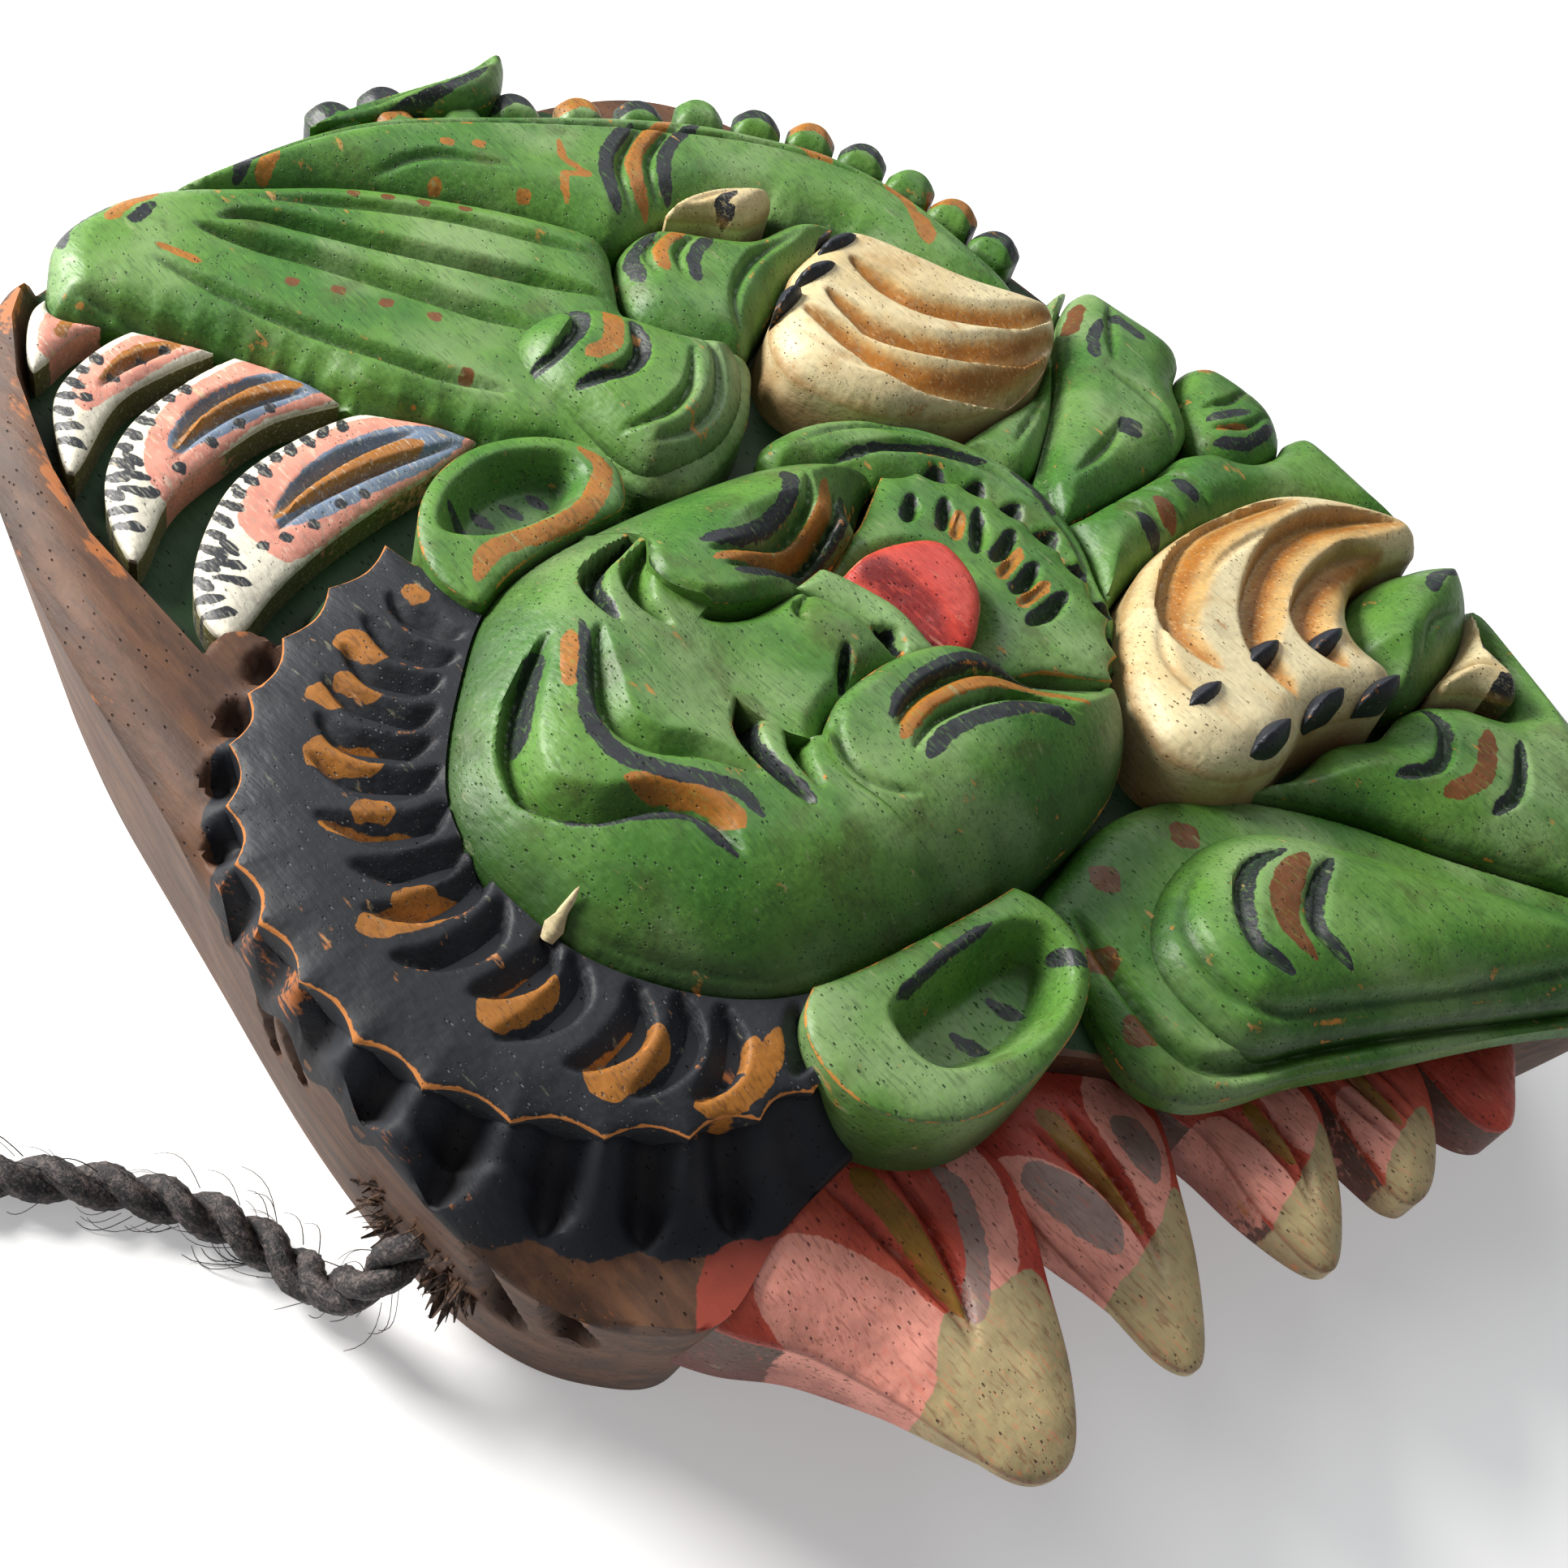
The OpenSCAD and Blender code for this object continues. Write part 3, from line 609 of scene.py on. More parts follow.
class Graph:
    """A material's node tree, built by short calls."""

    def __init__(self, name):
        self.material = bpy.data.materials.new(name)
        self.material.use_nodes = True
        self.tree = self.material.node_tree
        self.bsdf = self.tree.nodes["Principled BSDF"]
        place = self.add("ShaderNodeTexCoord").outputs["Object"]
        self.place = self.add("ShaderNodeMapping", Vector=place, Scale=(1000, 1000, 1000)).outputs[0]
        # The board's grain runs along X, so what lies in the wood is drawn out along it
        self.grain = self.add("ShaderNodeMapping", Vector=self.place, Scale=(0.2, 1, 1)).outputs[0]

    def put(self, socket, value):
        """Link a socket to another, or set its value."""
        if isinstance(value, bpy.types.NodeSocket):
            self.tree.links.new(value, socket)
        else:
            socket.default_value = value

    def add(self, kind, props=(), **inputs):
        """A new node with its properties and inputs set."""
        node = self.tree.nodes.new(kind)
        for key, value in dict(props).items():
            setattr(node, key, value)
        for key, value in inputs.items():
            self.put(node.inputs[key.replace("_", " ")], value)
        return node

    def math(self, kind, a, b=0.0, clamp=False):
        node = self.tree.nodes.new("ShaderNodeMath")
        node.operation = kind
        node.use_clamp = clamp
        self.put(node.inputs[0], a)
        self.put(node.inputs[1], b)
        return node.outputs[0]

    def mix(self, share, a, b):
        node = self.tree.nodes.new("ShaderNodeMix")
        node.data_type = "RGBA"
        self.put(node.inputs[0], share)
        self.put(node.inputs[6], a)
        self.put(node.inputs[7], b)
        return node.outputs[2]

    def noise(self, size, detail=3.0, rough=0.55, grain=False, seed=0.0):
        """Noise with features about size millimetres across, 0 to 1."""
        where = self.grain if grain else self.place
        if seed:
            where = self.add("ShaderNodeMapping", Vector=where, Location=(seed, seed, seed)).outputs[0]
        return self.add("ShaderNodeTexNoise", Vector=where, Scale=1 / size, Detail=detail,
                        Roughness=rough).outputs["Fac"]

    def band(self, value, low, high):
        """0 below low, 1 above high."""
        node = self.tree.nodes.new("ShaderNodeMapRange")
        node.interpolation_type = "SMOOTHSTEP"
        self.put(node.inputs["Value"], value)
        self.put(node.inputs["From Min"], low)
        self.put(node.inputs["From Max"], high)
        return node.outputs["Result"]

    def kept(self, name):
        """A value kept on the mesh."""
        return self.add("ShaderNodeAttribute", {"attribute_name": name}).outputs["Fac"]

    def pores(self, size, share):
        """Open pores of the wood, drawn out along the grain."""
        where = self.add("ShaderNodeMapping", Vector=self.place, Scale=(0.42, 1, 1)).outputs[0]
        cells = self.add("ShaderNodeTexVoronoi", Vector=where, Scale=1 / size).outputs["Distance"]
        hole = self.math("SUBTRACT", 1.0, self.band(cells, 0.05, 0.17))
        return self.math("MULTIPLY", hole, self.band(self.noise(9, seed=31), share, share + 0.12))

    def swing(self, value, amount):
        """The value's swing about a half, times amount."""
        return self.math("MULTIPLY", self.math("SUBTRACT", value, 0.5), amount)

    def over(self, colour, share, strength, other):
        """The other colour laid over this one by share, and by strength where share is 1."""
        return self.mix(self.math("MULTIPLY", share, strength), colour, other)

    def brushwork(self, layer, rag, ragged):
        """How far inside a layer's brush marks a place is, with a ragged edge."""
        inside_by = self.math("SUBTRACT", self.kept(layer), PAINT_EDGE)
        return self.math("ADD", inside_by, self.swing(rag, ragged))

    def relief(self, steps):
        """Bumps laid one over another: height, strength and distance of each."""
        normal = None
        for height, strength, distance in steps:
            normal = self.bump(height, strength, distance, normal)
        self.put(self.bsdf.inputs["Normal"], normal)

    def bump(self, height, strength, distance, normal=None):
        node = self.add("ShaderNodeBump", Strength=strength, Distance=distance * MM, Height=height)
        if normal is not None:
            self.put(node.inputs["Normal"], normal)
        return node.outputs["Normal"]


DUST = srgb(190, 185, 150)


def scaled(colour, share):
    """The colour made lighter or darker."""
    return tuple(min(1.0, c * share) for c in colour[:3]) + (1.0,)


def painted(name, base, tint, layers, wear_colour=srgb(204, 132, 52), pore_colour=None,
            gloss=0.38, side=None, wear_at=0.62, soft=0.16, deep=None, dust_and_sheen=None, stain=None):
    """Satin paint brushed over open-pored wood, rubbed through along the ridges, with painted shade in
    its hollows and low places and patches of dust and painted sheen.
    """
    g = Graph(name)
    broad = g.noise(16, detail=2)
    patchy = g.noise(5, seed=7)
    fine = g.noise(0.8, detail=4, seed=3)
    rag = g.noise(1.1, detail=3, seed=11)
    streak = g.noise(1.2, detail=4, rough=0.6, grain=True)
    colour = g.mix(g.band(broad, 0.35, 0.65), base, tint)
    colour = g.over(colour, g.band(patchy, 0.5, 0.72), 0.45, scaled(base, 0.62))
    # Broad whitish patches: dust, and a painted sheen
    dust_and_sheen_patches = g.band(g.noise(20, detail=3, seed=43), 0.46, 0.68)
    colour = g.over(colour, dust_and_sheen_patches, 0.65, dust_and_sheen or scaled(tint, 1.12))
    stained = g.band(g.noise(7, detail=4, seed=57), 0.54, 0.72)
    colour = g.over(colour, stained, 0.5, stain or scaled(base, 0.6))
    if side is not None:
        wall = g.band(g.math("ADD", g.kept("side"), g.math("MULTIPLY", rag, 0.4)), 0.9, 1.1)
        colour = g.mix(wall, colour, side)
    for layer in layers:
        edge = 0.16 if layer == "black" else soft
        cover = g.band(g.brushwork(layer, rag, 1.6), -edge, edge)
        thin = g.band(g.math("ADD", streak, g.math("MULTIPLY", cover, -0.1)), 0.50, 0.66)
        cover = g.math("MULTIPLY", cover, g.math("SUBTRACT", 1.0, g.math("MULTIPLY", thin, 0.5)))
        shade = g.mix(g.band(patchy, 0.35, 0.7), COLOURS[layer], scaled(COLOURS[layer], 0.72))
        colour = g.mix(cover, colour, shade)
    # Painted shade in the hollows, mixed towards deep; on the cream paint deep is ochre, the colour of
    # its grooves
    colour = g.over(colour, g.kept("hollow"), 0.55, deep or scaled(base, 0.25))
    scratch = g.noise(0.42, detail=2, rough=0.5, grain=True, seed=23)
    colour = g.over(colour, g.band(scratch, 0.56, 0.72), 0.3, scaled(tint, 1.35))
    colour = g.over(colour, g.band(scratch, 0.46, 0.3), 0.4, scaled(base, 0.4))
    # Painted shade: the paint darkens with depth below the top (kept as low), mottled by patchy noise
    painted_shade = g.band(g.math("ADD", g.kept("low"), g.swing(patchy, 0.5)), 0.12, 0.95)
    colour = g.over(colour, painted_shade, 0.75, scaled(deep or base, 0.25 if deep is None else 0.8))
    pores = g.math("MAXIMUM", g.pores(0.8, 0.34), g.pores(0.45, 0.44))
    colour = g.over(colour, pores, 0.75, pore_colour or scaled(base, 0.18))
    rubbed = g.math("ADD", g.kept("wear"), g.swing(patchy, 1.3))
    worn = g.band(g.math("ADD", rubbed, g.swing(fine, 0.9)), wear_at, wear_at + 0.2)
    flecks = g.math("ADD", g.math("MULTIPLY", streak, 0.5), g.math("MULTIPLY", patchy, 0.5))
    worn = g.math("MAXIMUM", worn, g.math("MULTIPLY", g.band(flecks, 0.63, 0.67), 0.7))
    colour = g.over(colour, worn, 0.85, wear_colour)
    colour = g.over(colour, g.band(streak, 0.64, 0.72), 0.22, DUST)
    g.put(g.bsdf.inputs["Base Color"], colour)
    rough = g.math("ADD", gloss, g.math("MULTIPLY", patchy, 0.22))
    g.put(g.bsdf.inputs["Roughness"], g.math("ADD", rough, g.math("MULTIPLY", worn, 0.2)))
    g.bsdf.inputs["Specular IOR Level"].default_value = 0.45
    g.relief([(g.noise(3.5, detail=2, seed=19), 0.5, 0.5), (streak, 0.6, 0.18), (scratch, 0.5, 0.1),
              (fine, 0.4, 0.08), (g.math("SUBTRACT", 1.0, pores), 0.9, 0.22)])
    return g.material


def bare_wood(name, layers=()):
    """Stained, handled hardwood: long grain, dark pores, orange where it is rubbed, and painted shade
    in its hollows and slots.
    """
    g = Graph(name)
    rings = g.noise(3.2, detail=5, rough=0.6, grain=True)
    lines = g.noise(0.7, detail=3, rough=0.6, grain=True, seed=5)
    patchy = g.noise(11, detail=3, seed=13)
    fine = g.noise(0.9, detail=4, seed=3)
    rag = g.noise(1.1, detail=3, seed=11)
    colour = g.mix(g.band(rings, 0.35, 0.65), srgb(72, 48, 34), srgb(104, 70, 47))
    colour = g.over(colour, g.band(lines, 0.52, 0.7), 0.5, srgb(62, 46, 38))
    colour = g.over(colour, g.band(patchy, 0.5, 0.7), 0.4, srgb(74, 52, 44))
    for layer in layers:
        cover = g.band(g.brushwork(layer, rag, 2.0), -0.2, 0.2)
        shade = g.mix(g.band(patchy, 0.35, 0.7), COLOURS[layer], scaled(COLOURS[layer], 0.66))
        colour = g.mix(cover, colour, shade)
    # Painted shade: hollows darkened to near black-brown
    colour = g.over(colour, g.kept("hollow"), 0.7, srgb(30, 22, 18))
    pores = g.pores(0.8, 0.3)
    colour = g.over(colour, pores, 0.8, srgb(34, 24, 20))
    rubbed = g.math("ADD", g.kept("wear"), g.swing(patchy, 2.2))
    rubbed = g.math("ADD", rubbed, g.swing(lines, 1.6))
    colour = g.over(colour, g.band(rubbed, 0.7, 1.0), 0.8, srgb(176, 104, 50))
    g.put(g.bsdf.inputs["Base Color"], colour)
    g.put(g.bsdf.inputs["Roughness"], g.math("ADD", 0.52, g.math("MULTIPLY", patchy, 0.2)))
    g.bsdf.inputs["Specular IOR Level"].default_value = 0.32
    g.relief([(rings, 0.5, 0.35), (lines, 0.5, 0.12), (fine, 0.3, 0.08),
              (g.math("SUBTRACT", 1.0, pores), 0.9, 0.25)])
    return g.material


def fibre(name, dark, light):
    """Coarse twisted plant fibre."""
    g = Graph(name)
    strands = g.noise(0.35, detail=4, rough=0.7)
    hairs = g.noise(1.4, detail=3, seed=5)
    threads = g.noise(0.3, detail=3, rough=0.6, grain=True, seed=9)
    colour = g.mix(g.band(g.math("MULTIPLY", strands, hairs), 0.2, 0.42), dark, light)
    colour = g.over(colour, g.band(threads, 0.54, 0.7), 0.5, scaled(light, 1.7))
    g.put(g.bsdf.inputs["Base Color"], colour)
    g.put(g.bsdf.inputs["Roughness"], g.math("ADD", 0.42, g.math("MULTIPLY", strands, 0.3)))
    g.relief([(strands, 0.8, 0.25), (threads, 0.6, 0.2)])
    return g.material


GREEN = painted("green_paint", srgb(62, 114, 36), srgb(92, 138, 52),
                ("pale_green", "brown", "ochre", "black"),
                dust_and_sheen=srgb(140, 166, 112), stain=srgb(72, 76, 28))
HAIR = painted("black_hair_paint", srgb(18, 21, 28), srgb(26, 30, 38), ("ochre",),
               wear_colour=srgb(204, 128, 60), pore_colour=srgb(120, 124, 128), gloss=0.5)
IVORY = painted("cream_paint", srgb(228, 214, 170), srgb(212, 190, 140),
                ("tan", "green", "ochre", "black"), wear_colour=srgb(176, 110, 40),
                pore_colour=srgb(120, 84, 40), wear_at=0.95, soft=1.9, deep=srgb(150, 104, 44),
                dust_and_sheen=srgb(236, 220, 176), stain=srgb(190, 146, 80))
CLAW = painted("black_claw_paint", srgb(36, 40, 48), srgb(44, 48, 58), (), gloss=0.4)
TONGUE = painted("red_paint", srgb(192, 56, 44), srgb(206, 80, 62), ("crimson",), gloss=0.34, soft=1.9,
                 wear_colour=srgb(232, 146, 104), pore_colour=srgb(130, 36, 30))
PLUME = painted("coral_paint", srgb(188, 62, 46), srgb(206, 90, 66),
                ("rose", "olive", "mauve", "gold"), side=srgb(86, 62, 48),
                wear_colour=srgb(206, 120, 70), pore_colour=srgb(96, 52, 40), wear_at=0.8)
QUILL = painted("feather_paint", srgb(238, 232, 212), srgb(228, 222, 200),
                ("pink", "blue", "ochre", "black"), side=srgb(96, 92, 44),
                wear_colour=srgb(200, 170, 120), pore_colour=srgb(150, 140, 120), wear_at=0.95)
WOOD = bare_wood("bare_wood", ("red", "green_in_painted_shade", "black"))
ROPE = fibre("rope_fibre", srgb(26, 24, 26), srgb(112, 100, 96))
TUFT = fibre("tuft_fibre", srgb(50, 32, 22), srgb(120, 84, 56))


# ---- the mask ----
# The pieces whose shared edges keep the mask's full height
MASK = ("forehead", "left_cheek", "right_cheek", "nose", "upper_lip", "tongue", "beard_collar")
# The cusps of the beard's outer edge, from the near side to the far side
BEARD_CUSPS = [(-17.5, -51), (-13, -55), (-7.5, -57.5), (-2, -58.7), (4, -58.7), (9, -58), (13.5, -56),
               (17.5, -52.5)]


def face_hollow(p):
    """How the middle of the mask falls away from the brows down to the nose."""
    return -2.8 * np.exp(-((p[:, 0] - 1) / 13) ** 2) * ease((8 - p[:, 1]) / 16)


def forehead():
    """Brows, eye folds and the long waved furrows over them."""
    m = Marks()
    m.cut([(-16.2, 12.9), (-11.1, 12.6), (-6.8, 15.2), (-3.8, 20.4), (1, 23.2), (4.6, 22.4),
           (8, 20.2), (12.2, 15.6), (16.1, 9.7)], 3.8, 3.2, lean=0.4, ends=(0.25, 0.2))
    m.cut([(-10.4, 4.6), (-4.8, 7.6), (-1, 11.4), (3.4, 12.2), (8.8, 9.2), (13.5, 5.5)],
          3.6, 2.6, lean=0.35, ends=(0.3, 0.25))
    m.brush("black", [(15.4, 11.8), (10.9, 16.9), (6.7, 21.2)], 2.1)
    m.brush("black", [(-1.1, 24), (-4.4, 21.7), (-7.1, 18.2), (-9.9, 14.5), (-13.2, 14), (-16, 13.8)],
            1.9)
    m.brush("ochre", [(-14.2, 11.2), (-9.5, 11.6), (-6.3, 13.8), (-3.1, 16.9)], 2.6)
    m.brush("ochre", [(8.4, 13.7), (11.4, 11.2), (14.6, 8.6)], 1.9)
    m.brush("black", [(-14.4, 8.7), (-10.1, 8.9), (-5.8, 12.2), (-1.4, 15.2), (3.2, 15.2), (7.6, 12.4),
                      (11, 9.4), (15.2, 6.6)], 2.0)
    left_eye = [(-15.8, 2.8), (-8.4, 2.6), (-4.2, 0.6), (-2.0, -3.6), (-3.2, -8.6)]
    right_eye = [(12.8, 3.4), (17.4, 2.3), (20.6, -0.4), (22.2, -4.6), (23.4, -9.6)]
    m.cut(left_eye, 3.6, 4.8, lean=0.5, ends=(0.45, 0.3), hollow=True)
    m.cut(right_eye, 3.2, 4.6, lean=0.5, ends=(0.4, 0.3), hollow=True)
    # The black in the eye hollows is black paint and painted shadow in one
    m.brush("black", left_eye, 2.4)
    m.brush("black", right_eye, 1.8)
    m.cut([(-14.6, 0.4), (-10, -1.4), (-7.4, -4.2), (-6.6, -8)], 3.0, 3.6, lean=0.4, hollow=True)
    m.cut([(10.2, -2), (14.4, -1.6), (18.4, -4.2), (20.8, -9)], 3.8, 4.4, lean=0.3, hollow=True)
    m.cut([(-28.6, 6), (-26.4, 14.4), (-22.8, 19.8), (-17.2, 24.6), (-11.6, 27.4), (-6, 28.4)],
          1.1, 0.5, ends=(0.3, 0.3))

    def shape(p, to_edge):
        brow = np.exp(-((np.abs(p[:, 0]) - 8) / 9) ** 2 - ((p[:, 1] - 10) / 6) ** 2)
        return face_hollow(p) + 0.5 * brow

    carve("forehead", m, GREEN, drop=8.5, reach=14.0, group=MASK,
          soft=("left_cheek", "right_cheek", "nose"), step=0.38, shape=shape)


def cheek(node, black_in, ochre, black_out, crease):
    """A cheek with an ochre stripe between two black ones, and the crease under its eye."""
    m = Marks()
    for line in (black_in, black_out):
        m.brush("black", line, 2.0, ends=(0.1, 0.1))
    m.brush("ochre", ochre, 2.2)
    m.cut(between(black_in, ochre), 2.0, 2.2, lean=0.3, ends=(0.3, 0.3))
    m.cut(between(ochre, black_out), 2.0, 2.2, lean=0.3, ends=(0.3, 0.3))
    m.cut(crease, 1.8, 1.2, lean=0.3)
    carve(node, m, GREEN, drop=8.5, reach=14.0, edge=1.5, round_over=1.8, group=MASK,
          soft=("forehead",), step=0.38, rub=0.8)


def left_cheek():
    cheek("left_cheek",
          [(-12.2, -12.2), (-10.3, -17.1), (-10.1, -23.5), (-11.7, -29.6), (-15.4, -35.9),
           (-20.2, -40)],
          [(-14.9, -10.9), (-13, -15.8), (-12.9, -21.4), (-14.3, -26.8), (-17.2, -32.2),
           (-22.4, -36.3)],
          [(-18.1, -11.5), (-16.9, -16.5), (-17.7, -22.5), (-19.9, -28.7), (-23.4, -31.9)],
          [(-8.6, -8.6), (-11, -5.6), (-14.9, -4.2), (-18.6, -5.4), (-21, -8)])


def right_cheek():
    cheek("right_cheek",
          [(18, -38), (15.2, -35.4), (12.4, -29.8), (11.1, -23.1), (11.1, -16.5), (12.1, -12.5)],
          [(19.9, -36.3), (16.1, -32.2), (13.6, -26.3), (13.1, -19.7), (14.6, -11.6)],
          [(23.2, -32), (19.7, -29.3), (17.1, -24.5), (16.2, -17.7), (17.5, -12.3)],
          [(10.4, -8.8), (13.2, -6.2), (17, -5.6), (21, -8.4)])


def nose():
    m = Marks()
    m.cut([(-5.6, -12.6), (-3.6, -14.8), (-1.7, -16.6)], 1.8, 3.0)
    m.brush("black", [(-5.3, -13), (-1.7, -16.6)], 1.2)
    mouth_corner(m)
    m.cut([(3.2, -15), (5.4, -16.6), (6.6, -19.8)], 1.8, 2.0)

    def shape(p, to_edge):
        tip = np.exp(-((p[:, 0] - 0.8) / 5.5) ** 2 - ((p[:, 1] + 18) / 6) ** 2)
        return -2.0 + face_hollow(p) + 2.6 * tip

    carve("nose", m, GREEN, drop=0.0, edge=3.0, round_over=3.0, soft=("forehead",), step=0.36,
          shape=shape)


def mouth_corner(m):
    """The hole between the nose and the lip, cut deep and painted black inside as painted shadow."""
    hole = [(-4.6, -22), (-2.8, -22.8), (-0.8, -23.4)]
    m.cut(hole, 4.6, 8.0, hollow=True, ends=(0.3, 0.3))
    # Painted shadow: the hole is painted black
    m.brush("black", hole, 3.4)


def upper_lip():
    m = Marks()
    m.patch("pale_green", [(-11, -20), (0, -18), (11, -18), (12, -25), (5, -29), (-1, -30), (-10, -28)])
    mouth_corner(m)

    def shape(p, to_edge):
        return np.full(len(p), -2.4)

    carve("upper_lip", m, GREEN, drop=0.8, reach=2.0, edge=0.4, round_over=0.6, step=0.36,
          shape=shape, rub=0.8)


def tongue():
    m = Marks()
    # Painted shade: darker red where the tongue runs under the lip
    m.brush("crimson", [(6, -30.9), (2.5, -31.1), (-1.5, -30.9), (-5.3, -29)], 4.0, ends=(0, 0))
    lip = rings_of("upper_lip")[0]

    def shape(p, to_edge):
        off_lip = -ring_distance(lip, p + LAYOUT)
        return 0.8 - 2.6 * np.exp(-(off_lip / 4.0) ** 2) - 0.9 * (p[:, 0] / 9) ** 2

    carve("tongue", m, TONGUE, drop=0.5, reach=1.6, edge=0.3, round_over=0.5, step=0.4, shape=shape,
          rub=0.9)


def beard_collar():
    m = Marks()
    slits = [[(-8.5, -43.5), (-7.5, -53)], [(-4, -46), (-2, -53.5)], [(1, -48), (3.5, -55.5)],
             [(3, -47), (8.5, -54)], [(8, -46), (12, -51.5)], [(11.5, -43), (14.5, -48)]]
    for top, foot in slits:
        mid = ((top[0] + foot[0]) / 2 - 0.4, (top[1] + foot[1]) / 2)
        m.cut([top, mid, foot], 2.5, 2.2, lean=-0.4)
        m.brush("black", [(top[0] + 0.2, top[1]), (mid[0] + 0.4, mid[1]), foot], 1.9)
    dabs = [[(-5.9, -45), (-5.2, -52)], [(-1.5, -46.5), (0.7, -53.4)], [(6, -46.4), (9.2, -51.4)]]
    for dab in dabs:
        m.brush("ochre", dab, 1.9)
        m.cut(dab, 1.5, 1.1)
    mouth = rings_of("tongue")[0]

    def shape(p, to_edge):
        off_tongue = -ring_distance(mouth, p + LAYOUT)
        return -3.2 * (1 - np.clip(off_tongue / 4.0, 0, 1)) ** 1.5

    carve("beard_collar", m, GREEN, drop=0.8, reach=4.0, edge=0.4, round_over=0.6, step=0.4,
          flare=0.6, shape=shape, rub=1.1)


# ---- hair and ears ----
# The hair's crescents, from the near ear over the crown to the far ear
HAIR_CUTS = [
    [(-33.7, 20.7), (-31.8, 17.7), (-28.5, 15.8)],
    [(-30, 30), (-29.5, 26.2), (-27.5, 23.4), (-24.2, 21.5)],
    [(-26.4, 34.5), (-26.3, 30), (-24.8, 26.2), (-20.9, 24)],
    [(-20.6, 37.3), (-21.7, 34), (-21.2, 29.5), (-17.6, 26.5)],
    [(-14.8, 40.6), (-15.9, 36.2), (-15.3, 31.8), (-12, 29)],
    [(-10, 39.5), (-11.2, 35.7), (-10.9, 31.8), (-8.7, 29.8)],
    [(-3.1, 42.9), (-5.6, 39), (-6, 34.5), (-3.7, 30.4)],
    [(2.4, 41.8), (-0.3, 37.9), (-1, 33.4), (1, 29.5), (3.6, 28.4)],
    [(7.2, 39.8), (3.8, 36.2), (2.9, 31.8), (3.6, 29)],
    [(13.5, 39), (9.1, 35.7), (7.2, 31.8), (8, 27.9)],
    [(19.7, 35.4), (14.1, 32.9), (11.6, 29), (11.6, 25.7)],
    [(23.5, 31.8), (19.1, 31.2), (15.8, 27.9), (14.8, 24)],
    [(27.4, 28.4), (21.9, 27.3), (18.5, 24.6), (18, 21.2)],
    [(29.7, 24.3), (24.7, 24), (21.6, 21.2), (20.8, 18.4)],
    [(32.2, 20.1), (26.9, 19.6), (23.6, 17.3), (22.7, 15.1)],
    [(33.6, 15.7), (29.7, 15.9), (25.8, 14), (24.7, 12.6)],
]


# The hair's ochre dabs, width and line of each
HAIR_DABS = [
    (2.4, [(-30.5, 30.3), (-32.3, 27), (-31.8, 22.5), (-29.4, 18.6)]),
    (1.8, [(-31.0, 24.3), (-28.8, 21)]),
    (4.6, [(-24, 37), (-24, 32), (-23, 27.3)]),
    (4.0, [(-13, 40.5), (-13.5, 36), (-13.2, 31.8)]),
    (3.2, [(0.8, 43.5), (-0.9, 38.5), (-1.9, 33.5)]),
    (1.8, [(1.4, 39.2), (0.3, 35)]),
    (1.6, [(12.5, 39.3), (8.6, 36.4), (6.8, 32.5)]),
    (2.4, [(12, 36), (9.6, 32.8)]),
    (4.0, [(20.5, 35.3), (18, 33.3), (15.2, 29.6)]),
    (2.6, [(26.5, 30.7), (22.8, 29.2)]),
    (2.4, [(26.5, 27.6), (22, 25.2)]),
    (3.4, [(31, 24), (29.5, 23.5), (26, 21.3)]),
    (2.4, [(33.2, 13.9), (30.2, 13.7)]),
]


def hair_crown():
    """The black hair with its fan of crescent cuts."""
    m = Marks()
    for line in HAIR_CUTS:
        m.cut(line, 4.0, 2.4, lean=-0.72, ends=(0.5, 0.35))
    for width, line in HAIR_DABS:
        m.brush("ochre", line, width)
    carve("hair_crown", m, HAIR, drop=1.0, reach=6.0, edge=0.2, round_over=0.4, step=0.38,
          rub=1.2, soft=("forehead", "left_ear", "right_ear"))


def ear(node, cup, cup_depth, marks):
    """An ear with a hollow cup."""
    cup = smooth(cup, closed=True)

    def shape(p, to_edge):
        return -cup_depth * ease(ring_distance(cup, p) / 3.5)

    carve(node, marks, GREEN, drop=0.6, reach=3.0, edge=0.35, round_over=0.6, step=0.38,
          shape=shape, rub=0.9)


def left_ear():
    m = Marks()
    for x, y in ((-40.5, 7.5), (-41, 2.2), (-40.5, -4), (-41.5, -11.0)):
        m.brush("black", [(x + 1.9, y + 0.4), (x, y), (x - 2.2, y - 1.2)], 2.0, ends=(0.6, 0.4))
    m.brush("black", [(-34.4, 8), (-33.9, 0), (-34.2, -7)], 1.2)
    cup = [(-42, 10.5), (-37, 11), (-34, 8.5), (-34, 0), (-34.5, -8), (-37.5, -12), (-42, -11.5),
           (-45.2, -7), (-46.3, -1), (-45, 6)]
    ear("left_ear", cup, 5.5, m)


def right_ear():
    m = Marks()
    for x, y in ((39, 2.5), (39, -1), (38.5, -5), (38.5, -8.7)):
        m.brush("black", [(x - 1.7, y - 0.5), (x + 1.7, y + 0.4)], 1.7, ends=(0.4, 0.4))
    m.brush("black", [(34.3, 2), (33.6, -3), (34.6, -8)], 1.5)
    m.brush("ochre", [(28.6, 8.6), (31.5, 4), (31.2, -3), (32, -10), (36, -15.6), (40.5, -15.6)], 2.6)
    cup = [(37, 7.2), (41.6, 3.2), (44, -3.5), (43.6, -9), (41, -13.8), (36.6, -14.2), (33, -9.5),
           (32.3, -3), (33.3, 3.2)]
    ear("right_ear", cup, 4.5, m)


